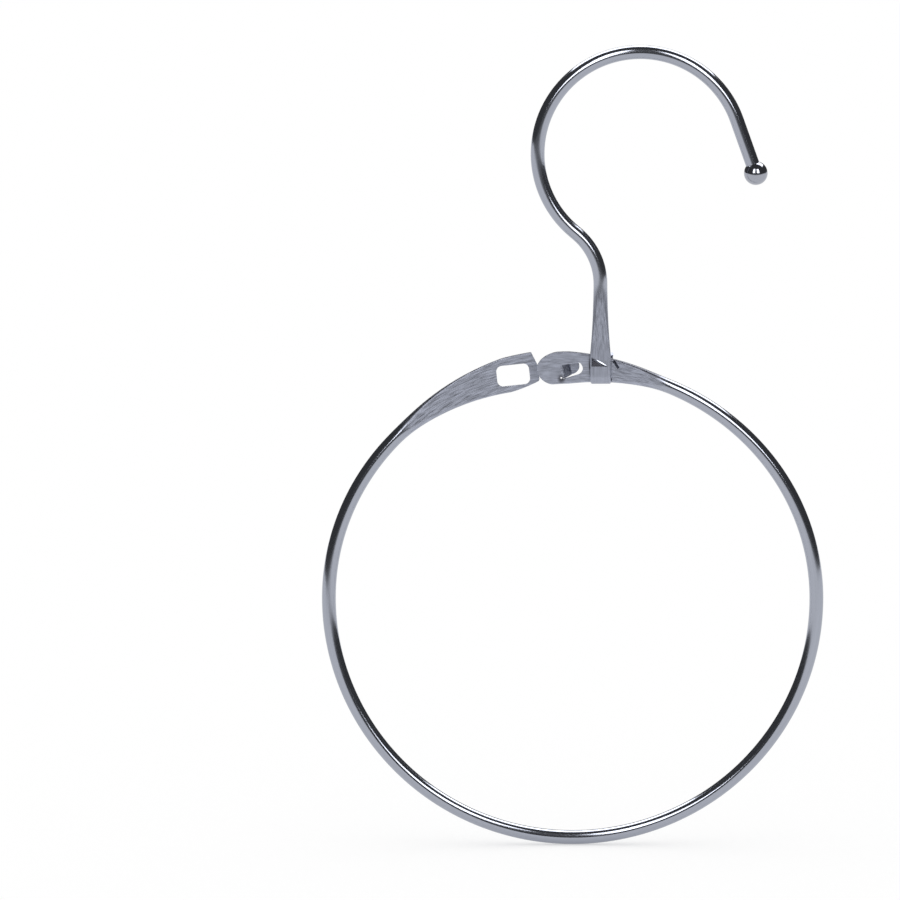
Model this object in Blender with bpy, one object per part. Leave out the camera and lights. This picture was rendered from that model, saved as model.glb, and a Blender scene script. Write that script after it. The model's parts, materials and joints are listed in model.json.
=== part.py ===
"""Belt ring hanger: a sprung wire ring with a tongue and slot clasp, hung from a wire hook.

Units are metres. X runs along the ring's width, Y from front to back and Z up. The origin is
the inner top of the hook, where it sits on a rail.
"""
from math import acos, asin, atan2, cos, pi, radians, sin, sqrt, tan

import bmesh
import bpy
from mathutils import Matrix, Vector

# Ring: an egg-shaped oval of wire, measured to the wire's centreline
RING_WIRE = 0.0037
RING_HALF_WIDTH = 0.0646
RING_RISE = 0.0618
RING_DROP = 0.0641
TIPS_ANGLE = radians(98.3)
TIP_LAP = 0.0003
TRIM_ALLOWANCE = 0.003

# Tongue end of the ring, pressed flat
TONGUE_PLATE_WIDTH = 0.0084
TONGUE_PLATE_FLAT = 0.0085
TONGUE_PLATE_LENGTH = 0.033
TONGUE_PLATE_NOSE = 0.0052

# Slotted end of the ring, pressed flat
SLOTTED_PLATE_WIDTH = 0.0089
SLOTTED_PLATE_FLAT = 0.0085
SLOTTED_PLATE_LENGTH = 0.039
SLOTTED_PLATE_SINK = 0.0005
UPPER_BEVEL_LENGTH = 0.0016
UPPER_BEVEL_DEPTH = 0.0032
LOWER_BEVEL_LENGTH = 0.0041
LOWER_BEVEL_DEPTH = 0.0016
TIP_CORNER_RADIUS = 0.0008

# Slot punched in the slotted end
SLOT_LENGTH = 0.0087
SLOT_HEIGHT = 0.0056
SLOT_DROP = 0.00015
SLOT_CORNER_RADIUS = 0.0015
SLOT_BRIDGE = 0.0025
SLOT_TWIST = radians(7.5)

# Tongue lanced out of its plate towards the back
TONGUE_SETBACK = 0.0064
TONGUE_DROP = 0.001
TONGUE_TILT = radians(12)
TONGUE_ROOT_WIDTH = 0.0031
TONGUE_END_WIDTH = 0.0025
TONGUE_THICKNESS = 0.0009
TONGUE_BEND_RADIUS = 0.0007
TONGUE_RAMP = 0.0027
TONGUE_FLAT = 0.0022
TONGUE_UPPER_GAP = 0.0005
TONGUE_LOWER_GAP = 0.0005
TONGUE_END_GAP = 0.0011
HOLE_LOWER_RADIUS = 0.00175
HOLE_UPPER_RADIUS = 0.0009

# Spring bend at the ring's bottom, where the ring flexes
OPENING_ANGLE = radians(14)
SPRING_BEND_SPAN = radians(9)

# Hook: wire bent in one plane, measured to its centreline
HOOK_WIRE = 0.0037
BOW_RADIUS = 0.0271
TAIL_LEAN = radians(19.5)
TAIL_LENGTH = 0.0151
NECK_TURN = radians(49.4)
NECK_STRAIGHT = 0.0014
NECK_RADIUS = 0.0175
SHANK_LENGTH = 0.0228
SHANK_OFFSET = 0.0073

# Ball pushed on a turned-down spigot at the hook's end
BALL_DIAMETER = 0.0063
SPIGOT_DIAMETER = 0.0022
SPIGOT_LENGTH = 0.0022

# Foot of the hook, pressed to a strap and wrapped round the tongue plate
STRAP_WIDTH = 0.0055
STRAP_THICKNESS = 0.0012
STRAP_CURL = radians(30)
STRAP_LEAN = radians(3.5)
STRAP_NOTCH = 0.00095
NOTCH_SHOULDER = 0.0001

# Tooth lanced out of the strap into the plate, and the punch mark beside the strap
WINDOW_WIDTH = 0.0041
WINDOW_HEIGHT = 0.0025
WINDOW_MARGIN = 0.0005
WINDOW_LIFT = 0.0005
TOOTH_LENGTH = 0.0021
TOOTH_THICKNESS = 0.0006
TOOTH_BITE = 0.0003
PUNCH_LENGTH = 0.0028
PUNCH_DEPTH = 0.0004
PUNCH_SETOFF = 0.0014
PUNCH_LIFT = 0.0014
PUNCH_LEAN = radians(56)

# Clearances
SEAT_GAP = 0.00025
RUNNING_GAP = 0.0003
TRIM_OVERLAP = RUNNING_GAP / 4

# Facets
SECTION_FACETS = 16
WIRE_STEP = 0.0055
PLATE_STEP = 0.0028
BALL_FACETS = 24

Y_AXIS = Vector((0, 1, 0))


def clear_scene():
    for scene_object in list(bpy.data.objects):
        bpy.data.objects.remove(scene_object)


def metal(name, colour, roughness):
    """A bare metal surface for one piece."""
    material = bpy.data.materials.new(name)
    material.use_nodes = True
    shader = material.node_tree.nodes["Principled BSDF"]
    shader.inputs["Base Color"].default_value = (*colour, 1)
    shader.inputs["Roughness"].default_value = roughness
    shader.inputs["Metallic"].default_value = 1
    return material


def add_object(name, mesh_data, pivot=None):
    """Turn a bmesh into an object, carried by a pivot empty if it has one."""
    bmesh.ops.recalc_face_normals(mesh_data, faces=mesh_data.faces)
    if mesh_data.calc_volume(signed=True) < 0:
        bmesh.ops.reverse_faces(mesh_data, faces=mesh_data.faces)
    mesh = bpy.data.meshes.new(name)
    mesh_data.to_mesh(mesh)
    mesh_data.free()
    scene_object = bpy.data.objects.new(name, mesh)
    if pivot:
        scene_object.parent = pivot
        scene_object.location = -pivot.matrix_world.translation
    bpy.context.scene.collection.objects.link(scene_object)
    return scene_object


def loft(name, sections, pivot=None):
    """Bridge a row of closed sections into one solid with flat ends."""
    mesh_data = bmesh.new()
    loops = []
    for section in sections:
        corners = [mesh_data.verts.new(point) for point in section]
        loops.append([mesh_data.edges.new((corners[i - 1], corners[i])) for i in range(len(corners))])
    for near, far in zip(loops, loops[1:]):
        bmesh.ops.bridge_loops(mesh_data, edges=near + far)
    bmesh.ops.contextual_create(mesh_data, geom=loops[0])
    bmesh.ops.contextual_create(mesh_data, geom=loops[-1])
    return add_object(name, mesh_data, pivot)


def prism(name, outline, front, back, pivot=None):
    """Extrude an outline of (x, z) points from the depth front to the depth back."""
    mesh_data = bmesh.new()
    face = mesh_data.faces.new([mesh_data.verts.new((x, front, z)) for x, z in outline])
    grown = bmesh.ops.extrude_face_region(mesh_data, geom=[face])["geom"]
    moved = [item for item in grown if isinstance(item, bmesh.types.BMVert)]
    bmesh.ops.translate(mesh_data, vec=(0, back - front, 0), verts=moved)
    return add_object(name, mesh_data, pivot)


def combine(target, other, operation):
    """Cut a shape from a piece, or join it on, and keep that shape out of the model."""
    other.display_type = "WIRE"
    other.hide_render = True
    modifier = target.modifiers.new(operation.title(), "BOOLEAN")
    modifier.operation = operation
    modifier.solver = "EXACT"
    modifier.object = other


def finish_piece(piece, material):
    piece.data.materials.append(material)
    piece.data.shade_smooth()
    piece.data.set_sharp_from_angle(angle=radians(40))


def smooth_step(share):
    return share * share * (3 - 2 * share)


def flattened_thickness(width):
    """Thickness of the ring's wire pressed out to a width, with half-round edges and the same area."""
    edge_share = 1 - pi / 4
    return (width - sqrt(width ** 2 - pi * edge_share * RING_WIRE ** 2)) / (2 * edge_share)


def wire_section(position, side, face, outer, inner, thickness):
    """Flat-sided oval that reaches outer along side, inner against it and is thick along face."""
    half = thickness / 2
    points = []
    for i in range(SECTION_FACETS):
        angle = 2 * pi * (i + 0.5) / SECTION_FACETS
        middle = outer - half if cos(angle) > 0 else half - inner
        points.append(position + side * (middle + half * cos(angle)) + face * (half * sin(angle)))
    return points


def flat_section(position, side, face, width, thickness):
    """Square-edged section of a strap."""
    across = side * (width / 2)
    through = face * (thickness / 2)
    return [position + across + through, position - across + through,
            position - across - through, position + across - through]


def round_corner(before, corner, after, radius, steps=5):
    """Points of the arc that rounds a corner between its two neighbours."""
    to_before = (before - corner).normalized()
    to_after = (after - corner).normalized()
    half_angle = to_before.angle(to_after) / 2
    centre = corner + (to_before + to_after).normalized() * (radius / sin(half_angle))
    start = corner + to_before * (radius / tan(half_angle)) - centre
    end = corner + to_after * (radius / tan(half_angle)) - centre
    turn = -start.angle_signed(end)
    return [centre + Matrix.Rotation(turn * step / steps, 2) @ start for step in range(steps + 1)]


def rounded_outline(corners, radius):
    """Closed outline of 2-D corners, each rounded by the radius."""
    points = [Vector(corner) for corner in corners]
    outline = []
    for i, corner in enumerate(points):
        outline += round_corner(points[i - 1], corner, points[(i + 1) % len(points)], radius)
    return outline


class WirePen:
    """Walks a bent wire's centreline in a plane and keeps each point with its heading."""

    def __init__(self, start, heading):
        self.position = Vector(start)
        self.heading = heading
        self.stations = [(self.position.copy(), heading)]

    def straight(self, length, steps=1):
        stride = Vector((cos(self.heading), sin(self.heading))) * (length / steps)
        for _ in range(steps):
            self.position = self.position + stride
            self.stations.append((self.position.copy(), self.heading))

    def bend(self, radius, turn, steps):
        """Turn to the left by a positive angle, or to the right by a negative one."""
        to_left = Vector((-sin(self.heading), cos(self.heading)))
        centre = self.position + to_left * (radius if turn > 0 else -radius)
        for _ in range(steps):
            self.position = centre + Matrix.Rotation(turn / steps, 2) @ (self.position - centre)
            self.heading += turn / steps
            self.stations.append((self.position.copy(), self.heading))


# Hook's tail and ball, placed from the bow, in the plane of X and Z
BOW_CENTRE = Vector((0, HOOK_WIRE / 2 - BOW_RADIUS))
TAIL_HEADING = pi / 2 + TAIL_LEAN
TAIL_DIRECTION = Vector((cos(TAIL_HEADING), sin(TAIL_HEADING)))
BALL_CENTRE = (BOW_CENTRE + BOW_RADIUS * Vector((cos(TAIL_LEAN), sin(TAIL_LEAN)))
               - TAIL_LENGTH * TAIL_DIRECTION)
BALL_FLAT = sqrt(BALL_DIAMETER ** 2 - HOOK_WIRE ** 2) / 2
HOOK_SHOULDER = BALL_FLAT + SEAT_GAP


def hook_pen():
    """Hook's centreline from its shoulder at the ball to the foot of the neck."""
    pen = WirePen(BALL_CENTRE + HOOK_SHOULDER * TAIL_DIRECTION, TAIL_HEADING)
    pen.straight(TAIL_LENGTH - HOOK_SHOULDER)
    pen.bend(BOW_RADIUS, pi - TAIL_LEAN + NECK_TURN, 32)
    pen.straight(NECK_STRAIGHT)
    pen.bend(NECK_RADIUS, -NECK_TURN, 8)
    return pen


NECK_FOOT = hook_pen().position
SHANK_X = NECK_FOOT.x


def ring_offset(angle):
    """Point of the ring's centreline, from the ring's centre, at an angle from +X."""
    rise = RING_RISE if sin(angle) > 0 else RING_DROP
    return Vector((RING_HALF_WIDTH * cos(angle), 0, rise * sin(angle)))


def ring_outward(angle):
    rise = RING_RISE if sin(angle) > 0 else RING_DROP
    return Vector((rise * cos(angle), 0, RING_HALF_WIDTH * sin(angle))).normalized()


SHANK_ANGLE = acos(SHANK_OFFSET / RING_HALF_WIDTH)
PLATE_LEVEL = NECK_FOOT.y - SHANK_LENGTH
RING_CENTRE = Vector((SHANK_X, 0, PLATE_LEVEL)) - ring_offset(SHANK_ANGLE)


def ring_angle(start, distance, direction):
    """Ring angle reached from start by a distance along the wire, direction +1 or -1."""
    stride = direction * radians(0.1) * (1 if distance > 0 else -1)
    angle = start
    left = abs(distance)
    while left > 0:
        length = (ring_offset(angle + stride) - ring_offset(angle)).length
        angle += stride * min(1, left / length)
        left -= length
    return angle


def ring_distance(start, end):
    """Distance along the wire between two ring angles."""
    steps = 300
    points = [ring_offset(start + (end - start) * i / steps) for i in range(steps + 1)]
    return sum((after - before).length for before, after in zip(points, points[1:]))


class RingEnd:
    """One pressed end of the ring: its tip, its taper into the wire and its sink inside the oval."""

    def __init__(self, direction, width, flat, length, sink=0):
        self.direction = direction
        self.tip = TIPS_ANGLE - direction * TIP_LAP / 2 / RING_HALF_WIDTH
        self.width = width
        self.flat = flat
        self.length = length
        self.sink = sink

    def angle(self, distance):
        return ring_angle(self.tip, distance, self.direction)

    def width_at(self, distance):
        share = min(max((distance - self.flat) / (self.length - self.flat), 0), 1)
        return self.width + (RING_WIRE - self.width) * share

    def thickness_at(self, distance):
        return flattened_thickness(self.width_at(distance))

    def middle(self, distance):
        """Offset of the end's middle from the oval: inwards at the tip, none where the wire is round."""
        return self.sink * (smooth_step(min(max(distance / self.length, 0), 1)) - 1)

    def spot(self, distance, offset):
        """Point (x, z) at a distance from the tip and an offset outwards from the end's middle."""
        angle = self.angle(distance)
        outward = ring_outward(angle)
        point = RING_CENTRE + ring_offset(angle) + outward * (self.middle(distance) + offset)
        return Vector((point.x, point.z))


TONGUE_END = RingEnd(-1, TONGUE_PLATE_WIDTH, TONGUE_PLATE_FLAT, TONGUE_PLATE_LENGTH)
SLOTTED_END = RingEnd(1, SLOTTED_PLATE_WIDTH, SLOTTED_PLATE_FLAT, SLOTTED_PLATE_LENGTH,
                      SLOTTED_PLATE_SINK)

# Hook's strap, wrapped round the tongue plate where the plate already thickens
STRAP_DISTANCE = ring_distance(TONGUE_END.tip, SHANK_ANGLE)
STRAP_REACH = STRAP_WIDTH / 2 + RUNNING_GAP
WRAPPED_HALF = TONGUE_END.thickness_at(STRAP_DISTANCE + STRAP_REACH) / 2
STRAP_DEPTH = WRAPPED_HALF + SEAT_GAP + STRAP_THICKNESS / 2
FOLD_DRIFT = tan(STRAP_LEAN) * pi * STRAP_DEPTH

# Depths of the clasp's layers behind the middle of the tongue plate
TONGUE_PLATE_HALF = TONGUE_END.thickness_at(STRAP_DISTANCE - STRAP_REACH) / 2
SLOTTED_PLATE_HALF = SLOTTED_END.thickness_at(0) / 2
SEATED_DEPTH = TONGUE_PLATE_HALF + SEAT_GAP + SLOTTED_PLATE_HALF
TONGUE_DEPTH = SEATED_DEPTH + SLOTTED_PLATE_HALF + SEAT_GAP + TONGUE_THICKNESS / 2
RESTING_DEPTH = TONGUE_DEPTH + TONGUE_THICKNESS / 2 + RUNNING_GAP + SLOTTED_PLATE_HALF

# Axes of the ring's spring, both on the wire's centreline near the ring's bottom
SQUEEZE_ANGLE = -pi / 2
SIDEWAYS_ANGLE = SQUEEZE_ANGLE - SPRING_BEND_SPAN
SQUEEZE_POINT = RING_CENTRE + ring_offset(SQUEEZE_ANGLE)
SIDEWAYS_POINT = RING_CENTRE + ring_offset(SIDEWAYS_ANGLE)
SIDEWAYS_AXIS = ring_outward(SIDEWAYS_ANGLE).cross(Y_AXIS)
SQUEEZE_HALF_GAP = (RING_WIRE * tan(OPENING_ANGLE / 2) + RUNNING_GAP) / 2 / RING_HALF_WIDTH
SIDEWAYS_HALF_GAP = RUNNING_GAP / 2 / RING_HALF_WIDTH


def plate_section(end, distance, notch=0):
    """Section of a pressed end; the notch is cut into its inner edge."""
    angle = end.angle(distance)
    width = end.width_at(distance)
    middle = end.middle(distance)
    return wire_section(RING_CENTRE + ring_offset(angle), ring_outward(angle), Y_AXIS,
                        width / 2 + middle, width / 2 - middle - notch, flattened_thickness(width))


def wire_sections(start, end):
    """Round sections of the ring's wire between two ring angles."""
    steps = max(1, round(abs(end - start) * RING_HALF_WIDTH / WIRE_STEP))
    sections = []
    for i in range(steps + 1):
        angle = start + (end - start) * i / steps
        sections.append(wire_section(RING_CENTRE + ring_offset(angle), ring_outward(angle), Y_AXIS,
                                     RING_WIRE / 2, RING_WIRE / 2, RING_WIRE))
    return sections


def spaced(start, end, step):
    """Distances from start to end, about a step apart, with both ends."""
    count = max(1, round((end - start) / step))
    return [start + (end - start) * i / count for i in range(count + 1)]


def tongue_arm_sections():
    """Tongue half of the ring, from past its tip to the squeeze axis, with the strap's notch."""
    start = STRAP_DISTANCE - STRAP_REACH
    end = STRAP_DISTANCE + STRAP_REACH + FOLD_DRIFT + RUNNING_GAP / 2
    sections = [plate_section(TONGUE_END, d)
                for d in spaced(-TRIM_ALLOWANCE, start - NOTCH_SHOULDER, PLATE_STEP)]
    sections += [plate_section(TONGUE_END, d, STRAP_NOTCH) for d in spaced(start, end, PLATE_STEP)]
    sections += [plate_section(TONGUE_END, d)
                 for d in spaced(end + NOTCH_SHOULDER, TONGUE_END.length, PLATE_STEP)]
    wire_start = TONGUE_END.angle(TONGUE_END.length)
    return sections + wire_sections(wire_start, SQUEEZE_ANGLE + SQUEEZE_HALF_GAP)[1:]


def slotted_arm_sections():
    """Slotted half of the ring, from past its tip to the sideways axis."""
    sections = [plate_section(SLOTTED_END, d)
                for d in spaced(-TRIM_ALLOWANCE, SLOTTED_END.length, PLATE_STEP)]
    wire_start = SLOTTED_END.angle(SLOTTED_END.length)
    return sections + wire_sections(wire_start, 2 * pi + SIDEWAYS_ANGLE - SIDEWAYS_HALF_GAP)[1:]


def tip_die(name, end, outline, pivot=None):
    """Cutter that trims a pressed end to an outline of (distance, offset) points across it."""
    reach = -TRIM_ALLOWANCE - PLATE_STEP
    side = end.width
    outline = [Vector((outline[0].x, side))] + outline + [Vector((outline[-1].x, -side))]
    outline += [Vector((reach, -side)), Vector((reach, side))]
    points = [end.spot(point.x, point.y) for point in outline]
    return prism(name, points, -end.width, end.width, pivot)


def nose_outline():
    """Round nose of the tongue plate."""
    half = TONGUE_PLATE_WIDTH / 2 + TRIM_OVERLAP
    angles = [pi / 2 - pi * i / 20 for i in range(21)]
    return [Vector((TONGUE_PLATE_NOSE * (1 - cos(a)), half * sin(a))) for a in angles]


def bevelled_outline():
    """Blunt tip of the slotted plate, bevelled above and below."""
    half = SLOTTED_PLATE_WIDTH / 2
    slope = UPPER_BEVEL_LENGTH / UPPER_BEVEL_DEPTH
    corners = [Vector((UPPER_BEVEL_LENGTH + slope * RUNNING_GAP, half + RUNNING_GAP)),
               Vector((0, half - UPPER_BEVEL_DEPTH)),
               Vector((0, LOWER_BEVEL_DEPTH - half)),
               Vector((LOWER_BEVEL_LENGTH, -half - TRIM_OVERLAP))]
    return ([corners[0]] + round_corner(corners[0], corners[1], corners[2], TIP_CORNER_RADIUS)
            + round_corner(corners[1], corners[2], corners[3], TIP_CORNER_RADIUS) + [corners[3]])


SLOT_DISTANCE = SLOT_BRIDGE + SLOT_LENGTH / 2
SLOT_CENTRE = SLOTTED_END.spot(SLOT_DISTANCE, -SLOT_DROP)


def slot_outline():
    """Rounded slot, turned a little against the plate so that it lies level when latched."""
    outward = ring_outward(SLOTTED_END.angle(SLOT_DISTANCE))
    along = Matrix.Rotation(-SLOT_TWIST, 2) @ Vector((outward.z, -outward.x))
    across = Vector((-along.y, along.x))
    half_length, half_height = SLOT_LENGTH / 2, SLOT_HEIGHT / 2
    corners = [SLOT_CENTRE + along * x * half_length + across * z * half_height
               for x, z in ((-1, -1), (1, -1), (1, 1), (-1, 1))]
    return rounded_outline(corners, SLOT_CORNER_RADIUS)


def tongue_frame():
    """Root of the tongue, its direction and its upward side, in the plane of X and Z."""
    root = TONGUE_END.spot(TONGUE_SETBACK, -TONGUE_DROP)
    outward = ring_outward(TONGUE_END.angle(TONGUE_SETBACK))
    along = Matrix.Rotation(TONGUE_TILT, 2) @ Vector((outward.z, -outward.x))
    return root, along, Vector((-along.y, along.x))


def tongue_hole_outline():
    """Hole that the tongue is lanced from: wider than the tongue below and at its end."""
    root, along, upward = tongue_frame()
    length = TONGUE_RAMP + TONGUE_FLAT + TONGUE_END_GAP
    root_half, end_half = TONGUE_ROOT_WIDTH / 2, TONGUE_END_WIDTH / 2
    corners = [Vector((0, -root_half - TONGUE_LOWER_GAP)), Vector((length, -end_half - TONGUE_LOWER_GAP)),
               Vector((length, end_half + TONGUE_UPPER_GAP)), Vector((0, root_half + TONGUE_UPPER_GAP))]
    outline = [corners[0]]
    outline += round_corner(corners[0], corners[1], corners[2], HOLE_LOWER_RADIUS)
    outline += round_corner(corners[1], corners[2], corners[3], HOLE_UPPER_RADIUS)
    outline.append(corners[3])
    return [root + along * point.x + upward * point.y for point in outline]


def tongue_sections():
    """Tongue that ramps backwards from its root and then runs level to a round end."""
    root, along, upward = tongue_frame()
    rise, radius = TONGUE_DEPTH, TONGUE_BEND_RADIUS
    slope = sqrt(TONGUE_RAMP ** 2 + (rise - 2 * radius) ** 2 - 4 * radius ** 2)
    ramp_angle = atan2(rise - 2 * radius, TONGUE_RAMP) + atan2(2 * radius, slope)
    pen = WirePen((-TONGUE_ROOT_WIDTH / 3, 0), 0)
    pen.straight(TONGUE_ROOT_WIDTH / 3)
    pen.bend(radius, ramp_angle, 3)
    pen.straight(slope)
    pen.bend(radius, -ramp_angle, 3)
    end_half = TONGUE_END_WIDTH / 2
    round_start = TONGUE_FLAT - end_half
    for share in (0, 0.35, 0.65, 0.85, 0.97):
        pen.stations.append((Vector((TONGUE_RAMP + round_start + end_half * share, rise)), 0))
    side = Vector((upward.x, 0, upward.y))
    forward = Vector((along.x, 0, along.y))
    base = Vector((root.x, 0, root.y))
    sections = []
    for point, heading in pen.stations:
        taper = min(max(point.x / (TONGUE_RAMP + round_start), 0), 1)
        width = TONGUE_ROOT_WIDTH + (TONGUE_END_WIDTH - TONGUE_ROOT_WIDTH) * taper
        past = max(point.x - TONGUE_RAMP - round_start, 0) / end_half
        face = Y_AXIS * cos(heading) - forward * sin(heading)
        sections.append(flat_section(base + forward * point.x + Y_AXIS * point.y, side, face,
                                     width * sqrt(1 - past * past), TONGUE_THICKNESS))
    return sections


def plate_edge_level(x, outwards):
    """Level of the tongue plate's upper (+1) or notched lower (-1) edge at a place along X."""
    angle = acos((x - RING_CENTRE.x) / RING_HALF_WIDTH)
    half = TONGUE_END.width_at(ring_distance(TONGUE_END.tip, angle)) / 2
    reach = half if outwards > 0 else STRAP_NOTCH - half
    return (RING_CENTRE + ring_offset(angle) + ring_outward(angle) * reach).z


def strap_levels():
    """Levels about which the strap folds, under the plate's lower edge and over its upper one."""
    left, right = SHANK_X - STRAP_REACH, SHANK_X + STRAP_REACH
    lower = min(plate_edge_level(left, -1), plate_edge_level(right, -1)) + WRAPPED_HALF
    upper = max(plate_edge_level(left, 1), plate_edge_level(right, 1)) - WRAPPED_HALF
    return lower, upper


def hook_sections():
    """Whole hook wire: tail, bow and neck, then the shank pressed to a strap and wrapped."""
    sections = []
    half = HOOK_WIRE / 2
    pen = hook_pen()
    for point, heading in pen.stations:
        side = Vector((-sin(heading), 0, cos(heading)))
        sections.append(wire_section(Vector((point.x, 0, point.y)), side, Y_AXIS, half, half, HOOK_WIRE))
    lower, upper = strap_levels()
    plate_top = upper + WRAPPED_HALF
    steps = 8
    for i in range(1, steps + 1):
        share = i / steps
        width = HOOK_WIRE + (STRAP_WIDTH - HOOK_WIRE) * share * share
        thickness = HOOK_WIRE + (STRAP_THICKNESS - HOOK_WIRE) * smooth_step(share)
        level = NECK_FOOT.y + (plate_top - NECK_FOOT.y) * share
        centre = Vector((SHANK_X, -STRAP_DEPTH * smooth_step(share), level))
        sections.append(wire_section(centre, Vector((1, 0, 0)), Y_AXIS, width / 2, width / 2, thickness))
    wrap = WirePen((-STRAP_DEPTH, plate_top), -pi / 2)
    wrap.straight(plate_top - lower, 2)
    wrap.bend(STRAP_DEPTH, pi, 8)
    wrap.straight(upper - lower, 2)
    wrap.bend(STRAP_DEPTH, STRAP_CURL, 5)
    walked = lower - plate_top
    before = wrap.stations[0][0]
    for point, heading in wrap.stations[1:]:
        walked += (point - before).length
        before = point
        centre = Vector((SHANK_X + tan(STRAP_LEAN) * max(walked, 0), point.x, point.y))
        face = Vector((0, -sin(heading), cos(heading)))
        sections.append(wire_section(centre, Vector((1, 0, 0)), face,
                                     STRAP_WIDTH / 2, STRAP_WIDTH / 2, STRAP_THICKNESS))
    return sections


def window_corners(inset=0):
    """Three-cornered window of the strap, its peak at the left, drawn in by an inset."""
    left = SHANK_X - STRAP_WIDTH / 2 + WINDOW_MARGIN
    base = PLATE_LEVEL + WINDOW_LIFT
    return [Vector((left + inset, base)), Vector((left + WINDOW_WIDTH - 3 * inset, base)),
            Vector((left + inset, base + WINDOW_HEIGHT - inset))]


def tooth_object(name, inset, overhang):
    """Tooth bent inwards about the window's lower edge; the inset may be negative for its dent."""
    corners = window_corners(inset)
    corners[2].y = corners[0].y + TOOTH_LENGTH - inset
    corners[0].y -= overhang
    corners[1].y -= overhang
    half = TOOTH_THICKNESS / 2 - min(inset, 0)
    tooth = prism(name, corners, -half, half)
    reach = STRAP_DEPTH - WRAPPED_HALF + TOOTH_BITE - TOOTH_THICKNESS / 2
    tilt = asin(reach / TOOTH_LENGTH)
    hinge = Vector((0, -STRAP_DEPTH, PLATE_LEVEL + WINDOW_LIFT))
    about_hinge = Matrix.Translation(hinge) @ Matrix.Rotation(-tilt, 4, "X")
    tooth.data.transform(about_hinge @ Matrix.Translation((0, 0, -hinge.z)))
    return tooth


def punch_object(name):
    """Wedge that leaves a slanting V mark in the plate's front, beside the strap."""
    mesh_data = bmesh.new()
    bmesh.ops.create_cone(mesh_data, cap_ends=True, segments=4, radius1=PUNCH_DEPTH,
                          radius2=PUNCH_DEPTH, depth=PUNCH_LENGTH)
    x = SHANK_X + STRAP_WIDTH / 2 + PUNCH_SETOFF
    place = Matrix.Translation((x, -WRAPPED_HALF, PLATE_LEVEL + PUNCH_LIFT))
    turn = Matrix.Rotation(PUNCH_LEAN - pi / 2, 4, "Y")
    bmesh.ops.transform(mesh_data, matrix=place @ turn, verts=mesh_data.verts)
    return add_object(name, mesh_data)


def make_pivot(name, point, parent=None):
    """Empty on a joint's axis."""
    pivot = bpy.data.objects.new(name, None)
    pivot.location = point
    if parent:
        pivot.parent = parent
        pivot.location = point - parent.location
    bpy.context.scene.collection.objects.link(pivot)
    bpy.context.view_layer.update()
    return pivot


def make_tongue_arm(steel):
    arm = loft("ring_tongue_arm", tongue_arm_sections())
    deep = TONGUE_PLATE_WIDTH
    combine(arm, tip_die("tongue_tip_die", TONGUE_END, nose_outline()), "DIFFERENCE")
    combine(arm, prism("tongue_hole", tongue_hole_outline(), -deep, deep), "DIFFERENCE")
    combine(arm, loft("tongue", tongue_sections()), "UNION")
    combine(arm, tooth_object("tooth_dent", -SEAT_GAP, 0), "DIFFERENCE")
    combine(arm, punch_object("punch_mark"), "DIFFERENCE")
    finish_piece(arm, steel)


def make_spring_bend(pivot, steel):
    sections = wire_sections(SQUEEZE_ANGLE - SQUEEZE_HALF_GAP, SIDEWAYS_ANGLE + SIDEWAYS_HALF_GAP)
    finish_piece(loft("ring_spring_bend", sections, pivot), steel)


def make_slotted_arm(pivot, steel):
    arm = loft("ring_slotted_arm", slotted_arm_sections(), pivot)
    deep = SLOTTED_PLATE_WIDTH
    combine(arm, tip_die("slotted_tip_die", SLOTTED_END, bevelled_outline(), pivot), "DIFFERENCE")
    combine(arm, prism("slot", slot_outline(), -deep, deep, pivot), "DIFFERENCE")
    finish_piece(arm, steel)
    slot = Vector((SLOT_CENTRE.x, 0, SLOT_CENTRE.y))
    lever = (SIDEWAYS_POINT - slot).dot(ring_outward(SIDEWAYS_ANGLE))
    pivot.rotation_mode = "AXIS_ANGLE"
    pivot.rotation_axis_angle = (-asin(RESTING_DEPTH / lever), *SIDEWAYS_AXIS)


def make_hook(steel):
    hook = loft("hook_wire", hook_sections())
    front = -STRAP_DEPTH - STRAP_THICKNESS
    back = -WRAPPED_HALF - SEAT_GAP / 2
    combine(hook, prism("tooth_window", window_corners(), front, back), "DIFFERENCE")
    combine(hook, tooth_object("tooth", SEAT_GAP, STRAP_THICKNESS / 2), "UNION")
    combine(hook, spigot("ball_spigot", SPIGOT_DIAMETER, SPIGOT_LENGTH, STRAP_THICKNESS), "UNION")
    finish_piece(hook, steel)


def spigot(name, diameter, length, overlap):
    """Round peg along the tail's axis, reaching a length past the hook's shoulder."""
    mesh_data = bmesh.new()
    bmesh.ops.create_cone(mesh_data, cap_ends=True, segments=SECTION_FACETS, radius1=diameter / 2,
                          radius2=diameter / 2, depth=length + overlap)
    middle = BALL_CENTRE + TAIL_DIRECTION * (HOOK_SHOULDER + (overlap - length) / 2)
    place = Matrix.Translation((middle.x, 0, middle.y))
    turn = Matrix.Rotation(-TAIL_LEAN, 4, "Y")
    bmesh.ops.transform(mesh_data, matrix=place @ turn, verts=mesh_data.verts)
    return add_object(name, mesh_data)


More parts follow.
